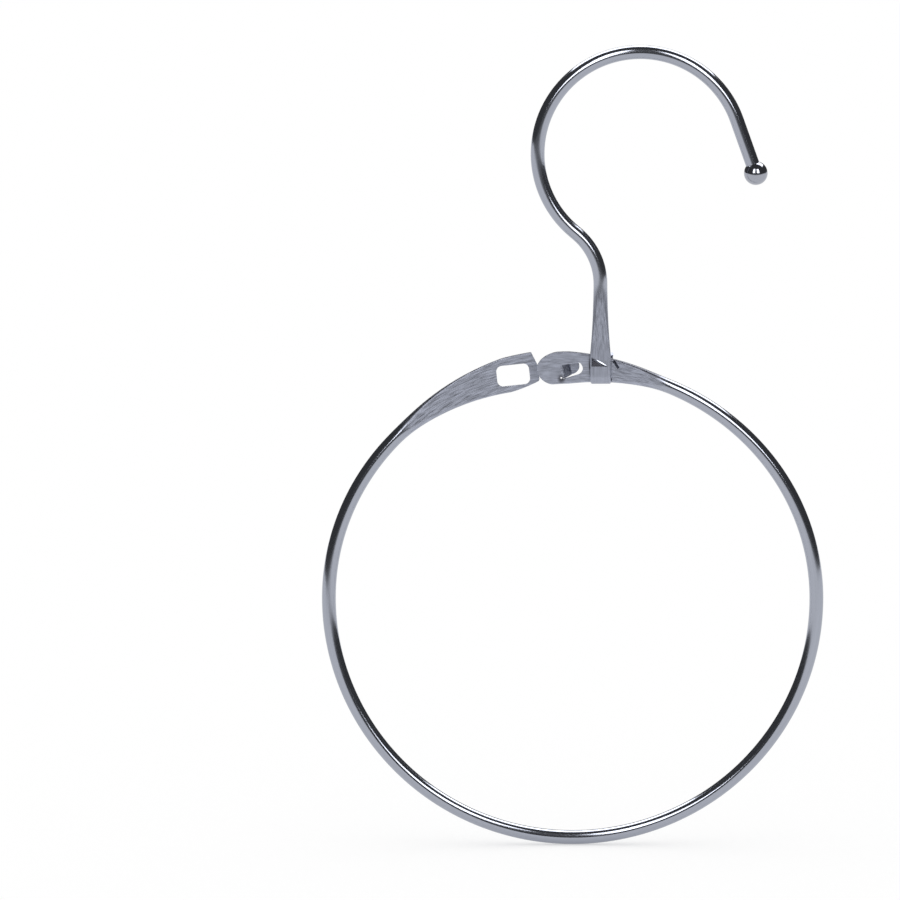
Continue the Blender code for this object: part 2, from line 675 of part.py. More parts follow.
def make_ball(steel):
    """Ball with a flat seat for the hook's shoulder and a bore for its spigot."""
    mesh_data = bmesh.new()
    bmesh.ops.create_uvsphere(mesh_data, u_segments=BALL_FACETS, v_segments=BALL_FACETS // 2,
                              radius=BALL_DIAMETER / 2)
    cut = bmesh.ops.bisect_plane(mesh_data, geom=mesh_data.verts[:] + mesh_data.edges[:] + mesh_data.faces[:],
                                 plane_co=(0, 0, BALL_FLAT), plane_no=(0, 0, 1), clear_outer=True)
    rim = [item for item in cut["geom_cut"] if isinstance(item, bmesh.types.BMEdge)]
    bmesh.ops.contextual_create(mesh_data, geom=rim)
    place = Matrix.Translation((BALL_CENTRE.x, 0, BALL_CENTRE.y))
    turn = Matrix.Rotation(-TAIL_LEAN, 4, "Y")
    bmesh.ops.transform(mesh_data, matrix=place @ turn, verts=mesh_data.verts)
    ball = add_object("hook_ball", mesh_data)
    bore = spigot("ball_bore", SPIGOT_DIAMETER + 2 * SEAT_GAP, SPIGOT_LENGTH + SEAT_GAP, BALL_DIAMETER)
    combine(ball, bore, "DIFFERENCE")
    finish_piece(ball, steel)


def build():
    clear_scene()
    squeeze_axis = make_pivot("squeeze_axis", SQUEEZE_POINT)
    sideways_axis = make_pivot("sideways_axis", SIDEWAYS_POINT, squeeze_axis)
    make_tongue_arm(metal("tongue_arm_steel", (0.55, 0.57, 0.60), 0.22))
    make_spring_bend(squeeze_axis, metal("spring_bend_steel", (0.56, 0.57, 0.60), 0.18))
    make_slotted_arm(sideways_axis, metal("slotted_arm_steel", (0.55, 0.57, 0.60), 0.22))
    make_hook(metal("hook_steel", (0.52, 0.54, 0.57), 0.2))
    make_ball(metal("ball_chrome", (0.70, 0.71, 0.73), 0.08))


build()
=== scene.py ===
"""Belt ring hanger with its finished surfaces, on a white table.

Units are metres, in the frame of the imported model: X along the ring's width, Y from front to
back, Z up, with the origin at the inner top of the hook.
"""

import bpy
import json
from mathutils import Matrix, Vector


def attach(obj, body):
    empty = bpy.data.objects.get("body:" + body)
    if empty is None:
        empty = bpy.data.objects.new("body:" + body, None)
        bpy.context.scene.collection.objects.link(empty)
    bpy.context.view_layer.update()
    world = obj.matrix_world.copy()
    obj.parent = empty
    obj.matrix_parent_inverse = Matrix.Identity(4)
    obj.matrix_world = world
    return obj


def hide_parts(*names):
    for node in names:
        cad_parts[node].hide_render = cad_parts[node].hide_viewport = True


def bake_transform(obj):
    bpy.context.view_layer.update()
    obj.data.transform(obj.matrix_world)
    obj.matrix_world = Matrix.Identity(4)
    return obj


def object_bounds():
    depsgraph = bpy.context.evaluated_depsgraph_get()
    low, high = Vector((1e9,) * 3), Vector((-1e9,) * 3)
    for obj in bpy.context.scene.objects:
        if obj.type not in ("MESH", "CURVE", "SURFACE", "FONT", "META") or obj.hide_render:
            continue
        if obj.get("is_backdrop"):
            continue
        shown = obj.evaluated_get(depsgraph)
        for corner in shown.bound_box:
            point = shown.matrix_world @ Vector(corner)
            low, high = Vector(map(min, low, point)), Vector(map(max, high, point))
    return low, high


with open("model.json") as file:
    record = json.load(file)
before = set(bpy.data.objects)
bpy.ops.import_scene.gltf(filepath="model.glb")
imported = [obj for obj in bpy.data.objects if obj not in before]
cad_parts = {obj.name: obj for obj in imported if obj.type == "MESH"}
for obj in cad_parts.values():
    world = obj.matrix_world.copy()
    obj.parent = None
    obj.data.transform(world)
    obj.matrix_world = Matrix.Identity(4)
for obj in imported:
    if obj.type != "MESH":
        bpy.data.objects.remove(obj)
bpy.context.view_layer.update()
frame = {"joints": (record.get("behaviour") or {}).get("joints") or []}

import json
from collections import namedtuple
from math import acos, asin, atan2, copysign, cos, pi, radians, sin, sqrt, tan

import bmesh
import bpy
from bpy.props import FloatProperty, FloatVectorProperty, PointerProperty
from bpy.types import Operator, Panel, PropertyGroup
from mathutils import Matrix, Vector
from mathutils.kdtree import KDTree

bl_info = {
    "name": "Belt Ring Hanger",
    "version": (1, 0, 0),
    "blender": (4, 5, 0),
    "location": "3D View > Sidebar > Hanger",
    "description": "Models a sprung wire belt ring and its hook, and stands them on a white table",
    "category": "Object",
}

X_AXIS = Vector((1, 0, 0))
Y_AXIS = Vector((0, 1, 0))

# Fineness of the meshes
WIRE_SIDES = 48
BALL_SIDES = 96
WIRE_STEP = 0.0012
PLATE_STEP = 0.0007
FOLD_STEP = PLATE_STEP / 2
TONGUE_BEND_STEP = PLATE_STEP / 5
TONGUE_END_STEPS = 24
CORNER_STEPS = 10
NOSE_STEP = pi / 48
BEVEL_STEP = 0.05
BEAD_STEP = 0.04
ANGLE_STEP = radians(0.1)
ARC_STEPS = 300

# How a section's corners, brushing and painted rim shade grow as it is pressed flat
SQUARENESS = 1.6
FULL_FLATNESS = 5
PRESSED_GAIN = 10
RIM_SHARPNESS = 12

# Steepest edges that are still shaded smooth, or left unworn
SMOOTH_LIMIT = radians(38)
WORN_LIMIT = radians(50)

JOINTS = {joint["name"]: joint for joint in frame["joints"]}
SQUEEZE_POINT = Vector(JOINTS["ring_squeeze"]["pos_m"])
SIDEWAYS_POINT = Vector(JOINTS["ring_side_flex"]["pos_m"])
SIDEWAYS_AXIS = Vector(JOINTS["ring_side_flex"]["axis"])


def length(name, default, description):
    return FloatProperty(name=name, description=description, default=default, precision=5,
                         subtype="DISTANCE", unit="LENGTH")


def angle(name, degrees, description):
    return FloatProperty(name=name, description=description, default=radians(degrees),
                         subtype="ANGLE", unit="ROTATION")


def share(name, default, description):
    return FloatProperty(name=name, description=description, default=default, min=0, max=1)


def amount(name, default, description):
    return FloatProperty(name=name, description=description, default=default, min=0)


def colour(name, default, description):
    return FloatVectorProperty(name=name, description=description, default=default, size=3,
                               min=0, max=1, subtype="COLOR")


def span(name, default, description):
    return FloatVectorProperty(name=name, description=description, default=default, size=2,
                               precision=5, unit="LENGTH")


class RingSizes(PropertyGroup):
    wire: length("Wire", 0.0037, "Thickness of the ring's wire")
    half_width: length("Half Width", 0.0646, "From the ring's centre to the wire's middle at its sides")
    rise: length("Rise", 0.0618, "From the ring's centre up to the top of its oval")
    drop: length("Drop", 0.0641, "From the ring's centre down to the wire's middle at the bottom")
    tips: angle("Tips", 98.3, "Place of the ring's two tips, from the right-hand side upwards")
    tip_lap: length("Tip Lap", 0.0003, "How far the two tips pass each other")
    trim: length("Trim", 0.003, "Blank that is trimmed off past each tip")
    toe: share("Toe", 0.15, "Share of each taper that runs softly into the wire")
    worn_edge: length("Worn Edge", 0.00012, "Rounding of the ring's cut edges")
    bend_span: angle("Bend Span", 21, "Stretch of wire on each side of the bottom that bends open and shut")
    twist_span: angle("Twist Span", 30, "Stretch of wire left of it that twists sideways")
    resting_tilt: angle("Resting Tilt", 2.0633, "How far the slotted half stands back at rest")


class TonguePlateSizes(PropertyGroup):
    width: length("Width", 0.0084, "Width of the pressed tongue plate")
    flat: length("Full Width Length", 0.0085, "Length over which the plate keeps its full width")
    length: length("Length", 0.033, "Distance from the tip to the round wire")
    nose_above: length("Nose Above", 0.0072, "Length of the nose's upper half")
    nose_below: length("Nose Below", 0.0049, "Length of the nose's lower half")
    crest: length("Crest", 0.0002, "How far the tip's outer edge stands out further")
    setback: length("Tongue Setback", 0.0064, "Distance from the tip to the tongue's root")
    drop: length("Tongue Drop", 0.001, "How far the tongue lies inside the plate's middle")
    tilt: angle("Tongue Tilt", 10, "Tilt of the tongue against the plate")
    root_upper: length("Root Above", 0.00172, "Reach of the tongue's root above its line")
    root_lower: length("Root Below", 0.00187, "Reach of the tongue's root below its line")
    end_upper: length("End Above", 0.00138, "Reach of the tongue's end above its line")
    end_lower: length("End Below", 0.0016, "Reach of the tongue below its line before it rounds off")
    crown: length("End Corner", 0.0009, "Radius of the end's upper corner")
    thickness: length("Tongue Thickness", 0.0009, "Thickness of the lanced tongue")
    bend_radius: length("Tongue Bend", 0.0007, "Radius of the tongue's two bends")
    ramp: length("Ramp", 0.0027, "Length of the tongue's slope")
    run: length("Run", 0.0023, "Length of the tongue's level end")
    slit: length("Slit", 0.00003, "Gap above the tongue")
    lower_gap: length("Lower Gap", 0.00018, "Gap below the tongue's root")
    end_gap: length("End Gap", 0.0014, "Gap past the tongue's end")
    end_lean: length("End Gap Lean", 0.00095, "How much narrower the gap past the end is at its top")
    lower_radius: length("Lower Hole Radius", 0.00175, "Radius of the hole's lower corner")
    upper_radius: length("Upper Hole Radius", 0.0007, "Radius of the hole's upper corner")
    relief_setback: length("Relief Setback", 0.00033, "Distance of the small relief hole before the root")
    relief_drop: length("Relief Drop", 0.0016, "Distance of the relief hole below the tongue's line")
    relief_radius: length("Relief Radius", 0.0003, "Radius of the relief hole")
    punch_length: length("Punch Mark Length", 0.0024, "Length of the slanting mark by the strap")
    punch_depth: length("Punch Mark Depth", 0.0004, "Depth of the slanting mark")
    punch_setoff: length("Punch Mark Setoff", 0.0014, "Distance of the mark from the strap")
    punch_lift: length("Punch Mark Lift", 0.0014, "Height of the mark above the plate's middle")
    punch_lean: angle("Punch Mark Lean", 56, "Slope of the mark")


class SlottedPlateSizes(PropertyGroup):
    width: length("Width", 0.0089, "Width of the pressed slotted plate")
    flat: length("Full Width Length", 0.0085, "Length over which the plate keeps its full width")
    length: length("Length", 0.039, "Distance from the tip to the round wire")
    sink: length("Sink", 0.0005, "How far the tip lies inside the oval")
    crest: length("Crest", 0.0005, "How far the tip's outer edge stands out further")
    upper_bevel_length: length("Upper Bevel Length", 0.0012, "Length of the bevel above the tip")
    upper_bevel_depth: length("Upper Bevel Depth", 0.0037, "Depth of the bevel above the tip")
    lower_bevel_length: length("Lower Bevel Length", 0.0098, "Length of the hollow bevel below the tip")
    lower_bevel_depth: length("Lower Bevel Depth", 0.0016, "Depth of the hollow bevel below the tip")
    lower_bevel_start: share("Lower Bevel Start", 0.15, "Share of the bevel that the tip's corner takes")
    corner_radius: length("Tip Corners", 0.0008, "Radius of the tip's corners")
    slot_length: length("Slot Length", 0.0087, "Length of the slot")
    slot_height: length("Slot Height", 0.0056, "Height of the slot")
    slot_drop: length("Slot Drop", 0.00015, "How far the slot lies inside the plate's middle")
    slot_radius: length("Slot Corners", 0.0015, "Radius of the slot's corners")
    bridge: length("Bridge", 0.0025, "Metal between the slot and the tip")
    twist: angle("Slot Twist", 7.5, "Turn of the slot against the plate")


class HookSizes(PropertyGroup):
    wire: length("Wire", 0.0037, "Thickness of the hook's wire")
    bow: length("Bow Radius", 0.0271, "Radius of the bow to the wire's middle")
    tail_lean: angle("Tail Lean", 19.5, "Lean of the tail from upright")
    tail_length: length("Tail Length", 0.0151, "From the bow's end to the ball's middle")
    neck_turn: angle("Neck Turn", 49.4, "Turn from the bow's end to the upright shank")
    neck_straight: length("Neck Straight", 0.0014, "Straight wire between the bow and the neck")
    neck_radius: length("Neck Radius", 0.0175, "Radius of the neck")
    shank_length: length("Shank Length", 0.0228, "From the neck's foot to the tongue plate")
    ball: length("Ball", 0.0063, "Diameter of the ball")
    shoulder_gap: length("Shoulder Gap", 0.00005, "Gap between the wire's shoulder and the ball")
    brushed_from: share("Brushed From", 0.25, "Share of the shank over which the polish ends")
    worn_edge: length("Worn Edge", 0.0001, "Rounding of the cut edges of the hook and the ball")


class StrapSizes(PropertyGroup):
    width: length("Width", 0.0055, "Width of the wrapped strap")
    thickness: length("Thickness", 0.0012, "Thickness of the wrapped strap")
    curl: angle("Curl", 30, "How far the strap's end curls over the plate")
    lean: angle("Lean", 3.5, "Lean of the strap as it wraps")
    notch: length("Notch", 0.00095, "Depth of the plate's notch under the strap")
    notch_gap: length("Notch Gap", 0.00004, "Clearance beside the strap in the notch")
    shoulder: length("Notch Shoulder", 0.00003, "Length of the notch's two steps")
    notch_drift: share("Notch Drift", 1 / 3, "How much of the strap's drift the notch follows")
    corner_rise: length("Fold Corners", 0.00045, "How far the fold's two corners are raised")
    corner_share: share("Fold Corner Share", 0.25, "Share of the half width that each corner takes")
    window_width: length("Window Width", 0.0043, "Width of the tooth's window")
    window_height: length("Window Height", 0.0025, "Height of the tooth's window")
    window_margin: length("Window Margin", 0.0004, "Metal left of the window")
    window_lift: length("Window Lift", 0.00105, "Height of the window above the plate's middle")
    window_slope: amount("Window Slope", 3, "How much further the tooth is drawn in at its point")
    bead: length("Window Rim", 0.00033, "Width of the turned-up rim on the window's slope")
    bead_start: share("Window Rim Start", 0.3, "Place on the window's slope where the rim starts")
    bead_end: share("Window Rim End", 0.93, "Place on the window's slope where the rim ends")
    bead_turn: angle("Window Rim Turn", 24, "How far the rim's face is turned up")
    bead_polish: share("Window Rim Polish", 0.7, "Reach of the polish round the rim, by the rim's width")
    tooth_length: length("Tooth Length", 0.0021, "Length of the tooth")
    tooth_thickness: length("Tooth Thickness", 0.0006, "Thickness of the tooth")
    bite: length("Bite", 0.0003, "How deep the tooth bites into the plate")
    seat_gap: length("Seat Gap", 0.00025, "Clearance between seated pieces")
    running_gap: length("Running Gap", 0.0003, "Clearance between moving pieces")
    die_gap: length("Die Gap", 0.000075, "How far a die reaches past the plate's edge")


class FinishLooks(PropertyGroup):
    wire_colour: colour("Wire", (0.37, 0.39, 0.45), "Colour of the polished wire")
    flat_colour: colour("Pressed Flats", (0.35, 0.37, 0.44), "Colour of the brushed flats")
    ball_colour: colour("Ball", (0.365, 0.38, 0.43), "Colour of the polished ball")
    # Dark colour painted on as shade: in the tongue's torn corner, beside the strap, in the punch mark, on
    # the tooth and along the plates' outer rims
    painted_shade_colour: colour("PaintedShade", (0.05, 0.05, 0.06), "Colour of the dull metal in torn and folded corners")
    wire_roughness: share("Wire Roughness", 0.13, "Roughness of the polished wire")
    flat_roughness: share("Flat Roughness", 0.4, "Roughness of the brushed flats")
    ball_roughness: share("Ball Roughness", 0.105, "Roughness of the ball")
    # Strength of the painted shade, a dark line along the plates' outer rims
    rim_shade_strength: share("Rim Shade Strength", 0.75, "How dull the plates' outer rims are")
    line_relief: share("Line Relief", 0.06, "Height of the drawing lines, where that of the brushing is 1")


class StudioLooks(PropertyGroup):
    elevation: angle("Camera Elevation", 8.5, "How far above level the camera looks from")
    distance: length("Camera Distance", 7, "Distance from the camera to the picture's middle")
    picture_width: length("Picture Width", 0.23832, "Real width that the picture spans")
    middle_x: length("Picture Middle", -0.05026, "Place along X of the picture's middle")
    middle_up: length("Picture Middle Height", -0.1033, "Height of the picture's middle in the picture")
    table_gap: length("Table Gap", 0.0001, "Gap between the ring and the table")
    table_front: length("Table Front", 0.75, "Distance of the table's front edge")
    table_side: length("Table Sides", 0.547, "Distance of the table's sides")
    table_back: length("Table Back", 4, "Distance of the table's back edge")
    table_glow: share("Table Glow", 0.5, "Share of the table's white that no shadow dims")
    floor_fade: length("Floor Fade", 0.5, "Distance over which the grey floor darkens in front")
    floor_light: amount("Floor Brightness", 0.163, "Brightness of the grey floor where it is darkest")
    room_half: length("Room Half Width", 4.5, "Distance of the dark screens")
    room_height: length("Room Height", 4, "Height of the dark screens")
    screen_light: amount("Screen Brightness", 0.07, "Brightness of the dark screens")
    window_distance: length("Window Distance", 0.807, "Distance of the two windows")
    window_heights: span("Window Heights", (0.1, 0.894), "Heights of the windows' lower and upper edges")
    left_window: span("Left Window", (-0.396, -0.081), "Places of the left window's two sides")
    right_window: span("Right Window", (0.1965, 0.585), "Places of the right window's two sides")
    window_light: amount("Window Brightness", 4.4, "Brightness of the windows, where 1 is white")
    panel_height: length("Panel Height", 0.422, "Height of the overhead panel")
    panel_sides: span("Panel Sides", (-0.43, 0.505), "Places of the panel's two sides")
    panel_depths: span("Panel Depths", (0.134, 0.79), "Places of the panel's front and back edges")
    panel_light: amount("Panel Brightness", 3.9, "Brightness of the overhead panel")


def ring_sizes():
    return bpy.context.scene.hanger_ring


def tongue_sizes():
    return bpy.context.scene.hanger_tongue_plate


def slotted_sizes():
    return bpy.context.scene.hanger_slotted_plate


def hook_sizes():
    return bpy.context.scene.hanger_hook


def strap_sizes():
    return bpy.context.scene.hanger_strap


def looks():
    return bpy.context.scene.hanger_finish


# Meshes

def clamp(value):
    return min(max(value, 0), 1)


def smooth_step(way):
    return way * way * (3 - 2 * way)


def spaced(start, end, step):
    """Values from start to end, about a step apart, with both ends."""
    count = max(1, round(abs(end - start) / step))
    return [start + (end - start) * i / count for i in range(count + 1)]


Station = namedtuple("Station", "place outer inner thickness pressed")


def station(position, side, face, outer, inner, thickness, pressed=0.0):
    """One section of a wire: it reaches outer along side, inner against it, and is thick along face."""
    place = Matrix((side, face, side.cross(face))).transposed().to_4x4()
    place.translation = position
    return Station(place, outer, inner, thickness, pressed)


def section_loop(mesh_data, section):
    """Loop of edges round a section: a circle whose two halves are moved apart, squarer where pressed."""
    half_step = Matrix.Rotation(pi / WIRE_SIDES, 4, "Z")
    half = section.thickness / 2
    circle = bmesh.ops.create_circle(mesh_data, segments=WIRE_SIDES, radius=half, matrix=half_step)["verts"]
    flatness = (section.outer + section.inner) / section.thickness
    power = 1 / (1 + SQUARENESS * clamp((flatness - 1) / (FULL_FLATNESS - 1)))
    for vertex in circle:
        for axis in (0, 1):
            vertex.co[axis] = half * copysign(abs(vertex.co[axis] / half) ** power, vertex.co[axis])
    outer_side = [vertex for vertex in circle if vertex.co.x > 0]
    inner_side = [vertex for vertex in circle if vertex.co.x < 0]
    bmesh.ops.translate(mesh_data, vec=(section.outer - half, 0, 0), verts=outer_side)
    bmesh.ops.translate(mesh_data, vec=(half - section.inner, 0, 0), verts=inner_side)
    bmesh.ops.transform(mesh_data, matrix=section.place, verts=circle)
    return list({edge for vertex in circle for edge in vertex.link_edges})


def box_loop(mesh_data, section):
    """Square-cornered loop of edges, for the lanced tongue and the window's rim."""
    corners = Matrix.Rotation(pi / 4, 4, "Z")
    square = bmesh.ops.create_circle(mesh_data, segments=4, radius=sqrt(0.5), matrix=corners)["verts"]
    stretch = Matrix.Diagonal((section.outer + section.inner, section.thickness, 1, 1))
    stretch.translation.x = (section.outer - section.inner) / 2
    bmesh.ops.transform(mesh_data, matrix=section.place @ stretch, verts=square)
    return list({edge for vertex in square for edge in vertex.link_edges})


def bridge(mesh_data, loops):
    """Skin between a row of loops, shut at both ends."""
    for near, far in zip(loops, loops[1:]):
        bmesh.ops.bridge_loops(mesh_data, edges=near + far)
    for end in (loops[0], loops[-1]):
        bmesh.ops.contextual_create(mesh_data, geom=end)


def new_solid(name, mesh_data):
    """Object of a closed bmesh, with its faces pointing outwards."""
    bmesh.ops.recalc_face_normals(mesh_data, faces=mesh_data.faces)
    if mesh_data.calc_volume(signed=True) < 0:
        bmesh.ops.reverse_faces(mesh_data, faces=mesh_data.faces)
    return new_object(name, mesh_data)


def new_object(name, mesh_data):
    """Object at the origin that takes over a bmesh."""
    mesh = bpy.data.meshes.new(name)
    mesh_data.to_mesh(mesh)
    mesh_data.free()
    piece = bpy.data.objects.new(name, mesh)
    bpy.context.scene.collection.objects.link(piece)
    return piece


def sweep(name, sections, loop=section_loop):
    mesh_data = bmesh.new()
    bridge(mesh_data, [loop(mesh_data, section) for section in sections])
    return new_solid(name, mesh_data)


def prism(name, outline, front, back):
    """Extrude an outline of (x, z) points from the depth front to the depth back."""
    mesh_data = bmesh.new()
    face = mesh_data.faces.new([mesh_data.verts.new((x, front, z)) for x, z in outline])
    grown = bmesh.ops.extrude_face_region(mesh_data, geom=[face])["geom"]
    moved = [item for item in grown if isinstance(item, bmesh.types.BMVert)]
    bmesh.ops.translate(mesh_data, vec=(0, back - front, 0), verts=moved)
    return new_solid(name, mesh_data)


def carve(piece, tool, operation="DIFFERENCE"):
    """Cut the tool's shape from the piece, or join it on, and delete the tool."""
    modifier = piece.modifiers.new("Carve", "BOOLEAN")
    modifier.operation = operation
    modifier.solver = "EXACT"
    modifier.object = tool
    bpy.context.view_layer.update()
    evaluated = piece.evaluated_get(bpy.context.evaluated_depsgraph_get())
    carved = bpy.data.meshes.new_from_object(evaluated)
    piece.modifiers.clear()
    old_mesh = piece.data
    piece.data = carved
    bpy.data.meshes.remove(old_mesh)
    bpy.data.objects.remove(tool)
    if not carved.polygons:
        raise RuntimeError(f"carving {piece.name} left nothing")


def mark_grain(piece, sections, painted_rim_shade=False):
    """Store each vertex's place on the straightened wire, how far it is pressed, and the painted shade of
    its outer rim.
    """
    middles = [section.place.translation for section in sections]
    distances = [0.0]
    for before, after in zip(middles, middles[1:]):
        distances.append(distances[-1] + (after - before).length)
    tree = KDTree(len(sections))
    for i, middle in enumerate(middles):
        tree.insert(middle, i)
    tree.balance()
    inverses = [section.place.inverted() for section in sections]
    grain, pressed, rim = [], [], []
    for vertex in piece.data.vertices:
        nearest = tree.find(vertex.co)[1]
        local = inverses[nearest] @ vertex.co
        grain += (local.x, local.y, distances[nearest] + local.z)
        section = sections[nearest]
        pressed.append(section.pressed)
        inset = 1 - abs(local.y) / (section.thickness / 2)
        # Painted shade: a dark line along a pressed section's outer rim
        on_rim = painted_rim_shade and local.x > section.outer - section.thickness / 2
        rim.append(clamp(inset * RIM_SHARPNESS) * section.pressed if on_rim else 0.0)
    piece.data.attributes.new("grain", "FLOAT_VECTOR", "POINT").data.foreach_set("vector", grain)
    piece.data.attributes.new("pressed", "FLOAT", "POINT").data.foreach_set("value", pressed)
    piece.data.attributes.new("rim", "FLOAT", "POINT").data.foreach_set("value", rim)


def finish_mesh(piece, material, edge_width=0.0):
    """Shade a piece smooth, soften its cut edges by a width and give it its material."""
    piece.data.materials.clear()
    piece.data.materials.append(material)
    piece.data.shade_smooth()
    piece.data.set_sharp_from_angle(angle=SMOOTH_LIMIT)
    if edge_width:
        bevel = piece.modifiers.new("Worn edges", "BEVEL")
        bevel.width = edge_width
        bevel.segments = 2
        bevel.limit_method = "ANGLE"
        bevel.angle_limit = WORN_LIMIT
        bevel.miter_outer = "MITER_ARC"
        normals = piece.modifiers.new("Flat normals", "WEIGHTED_NORMAL")
        normals.keep_sharp = True


# Outlines

def round_corner(before, corner, after, radius):
    """Points of the arc that rounds a corner between its two neighbours."""
    to_before = (before - corner).normalized()
    to_after = (after - corner).normalized()
    half_angle = to_before.angle(to_after) / 2
    centre = corner + (to_before + to_after).normalized() * (radius / sin(half_angle))
    start = corner + to_before * (radius / tan(half_angle)) - centre
    end = corner + to_after * (radius / tan(half_angle)) - centre
    turn = -start.angle_signed(end)
    return [centre + Matrix.Rotation(turn * step / CORNER_STEPS, 2) @ start
            for step in range(CORNER_STEPS + 1)]


def rounded_outline(corners, radius):
    outline = []
    for i, corner in enumerate(corners):
        outline += round_corner(corners[i - 1], corner, corners[(i + 1) % len(corners)], radius)
    return outline


class WirePen:
    """Walks a bent wire's centreline in a plane and keeps each point with its heading."""

    def __init__(self, start, heading):
        self.position = Vector(start)
        self.heading = heading
        self.stations = [(self.position.copy(), heading)]

    def straight(self, distance, step):
        steps = max(1, round(distance / step))
        stride = Vector((cos(self.heading), sin(self.heading))) * (distance / steps)
        for _ in range(steps):
            self.position = self.position + stride
            self.stations.append((self.position.copy(), self.heading))

    def bend(self, radius, turn, step):
        """Turn to the left by a positive angle, or to the right by a negative one."""
        steps = max(3, round(radius * abs(turn) / step))
        to_left = Vector((-sin(self.heading), cos(self.heading)))
        centre = self.position + to_left * (radius if turn > 0 else -radius)
        for _ in range(steps):
            self.position = centre + Matrix.Rotation(turn / steps, 2) @ (self.position - centre)
            self.heading += turn / steps
            self.stations.append((self.position.copy(), self.heading))


# The ring's oval and its two pressed ends

def ring_offset(at):
    """Point of the ring's centreline, from the ring's centre, at an angle from +X."""
    ring = ring_sizes()
    rise = ring.rise if sin(at) > 0 else ring.drop
    return Vector((ring.half_width * cos(at), 0, rise * sin(at)))


def ring_outward(at):
    ring = ring_sizes()
    rise = ring.rise if sin(at) > 0 else ring.drop
    return Vector((rise * cos(at), 0, ring.half_width * sin(at))).normalized()


def ring_centre():
    return SQUEEZE_POINT + Vector((0, 0, ring_sizes().drop))


def ring_point(at):
    return ring_centre() + ring_offset(at)


def ring_angle(start, distance, direction):
    """Ring angle reached from start by a distance along the wire, direction +1 or -1."""
    stride = copysign(ANGLE_STEP, direction * distance)
    at = start
    left = abs(distance)
    while left > 0:
        step = (ring_offset(at + stride) - ring_offset(at)).length
        at += stride * min(1, left / step)
        left -= step
    return at


def ring_distance(start, end):
    """Distance along the wire between two ring angles."""
    points = [ring_offset(at) for at in spaced(start, end, abs(end - start) / ARC_STEPS)]
    return sum((after - before).length for before, after in zip(points, points[1:]))


def flattened_thickness(width):
    """Thickness of the ring's wire pressed out to a width, with the same area."""
    edge_share = 1 - pi / 4
    area_term = pi * edge_share * ring_sizes().wire ** 2
    return (width - sqrt(max(width ** 2 - area_term, 0))) / (2 * edge_share)


class RingEnd:
    """One pressed end of the ring: its tip, its taper into the wire and its place on the oval."""

    def __init__(self, direction, plate, sink=0.0):
        ring = ring_sizes()
        self.direction = direction
        self.tip = ring.tips - direction * ring.tip_lap / 2 / ring.half_width
        self.width = plate.width
        self.flat = plate.flat
        self.length = plate.length
        self.crest = plate.crest
        self.sink = sink
        self.toe = ring.toe * (plate.length - plate.flat)
        self.reach = plate.length + self.toe

    def angle(self, distance):
        return ring_angle(self.tip, distance, self.direction)

    def width_at(self, distance):
        """Full width near the tip, then a straight taper that runs softly into the wire."""
        left = self.length - max(distance, self.flat)
        if left < self.toe:
            left = max(left + self.toe, 0) ** 2 / (4 * self.toe)
        wire = ring_sizes().wire
        return wire + (self.width - wire) * left / (self.length - self.flat)

    def thickness_at(self, distance):
        return flattened_thickness(self.width_at(distance))

    def pull(self, distance):
        """1 at the tip, falling to 0 where the wire is round."""
        return 1 - smooth_step(clamp(distance / self.reach))

    def middle(self, distance):
        """Offset of the end's middle from the oval: inwards at the tip, none where the wire is round."""
        return -self.sink * self.pull(distance)

    def spot(self, distance, offset):
        """Point (x, z) at a distance from the tip and an offset outwards from the end's middle."""
        at = self.angle(distance)
        point = ring_point(at) + ring_outward(at) * (self.middle(distance) + offset)
        return Vector((point.x, point.z))

    def station(self, distance, notch=0.0):
        at = self.angle(distance)
        width = self.width_at(distance)
        middle = self.middle(distance)
        pressed = clamp((width / ring_sizes().wire - 1) * PRESSED_GAIN)
        return station(ring_point(at), ring_outward(at), Y_AXIS,
                       width / 2 + middle + self.crest * self.pull(distance),
                       width / 2 - middle - notch, flattened_thickness(width), pressed)


def wire_stations(start, end):
    """Round sections of the ring's wire between two ring angles."""
    half = ring_sizes().wire / 2
    step = WIRE_STEP / ring_sizes().half_width
    return [station(ring_point(at), ring_outward(at), Y_AXIS, half, half, 2 * half)
            for at in spaced(start, end, step)]


def tip_die(name, end, outline):
    """Cutter that trims a pressed end to an outline of (distance, offset) points across it."""
    reach = -2 * ring_sizes().trim
    side = end.width
    outline = [Vector((outline[0].x, side))] + outline + [Vector((outline[-1].x, -side))]
    outline += [Vector((reach, -side)), Vector((reach, side))]
    return prism(name, [end.spot(point.x, point.y) for point in outline], -side, side)


# The hook's line, and what it fixes on the ring

def bow_centre():
    hook = hook_sizes()
    return Vector((0, hook.wire / 2 - hook.bow))


def tail_direction():
    heading = pi / 2 + hook_sizes().tail_lean
    return Vector((cos(heading), sin(heading)))


def ball_centre():
    hook = hook_sizes()
    bow_end = bow_centre() + hook.bow * Vector((cos(hook.tail_lean), sin(hook.tail_lean)))
    return bow_end - hook.tail_length * tail_direction()


def ball_flat():
    hook = hook_sizes()
    return sqrt(hook.ball ** 2 - hook.wire ** 2) / 2


def hook_pen():
    """Hook's centreline from its shoulder at the ball to the foot of the neck."""
    hook = hook_sizes()
    shoulder = ball_flat() + hook.shoulder_gap
    pen = WirePen(ball_centre() + shoulder * tail_direction(), pi / 2 + hook.tail_lean)
    pen.straight(hook.tail_length - shoulder, WIRE_STEP)
    pen.bend(hook.bow, pi - hook.tail_lean + hook.neck_turn, WIRE_STEP)
    pen.straight(hook.neck_straight, WIRE_STEP)
    pen.bend(hook.neck_radius, -hook.neck_turn, WIRE_STEP)
    return pen


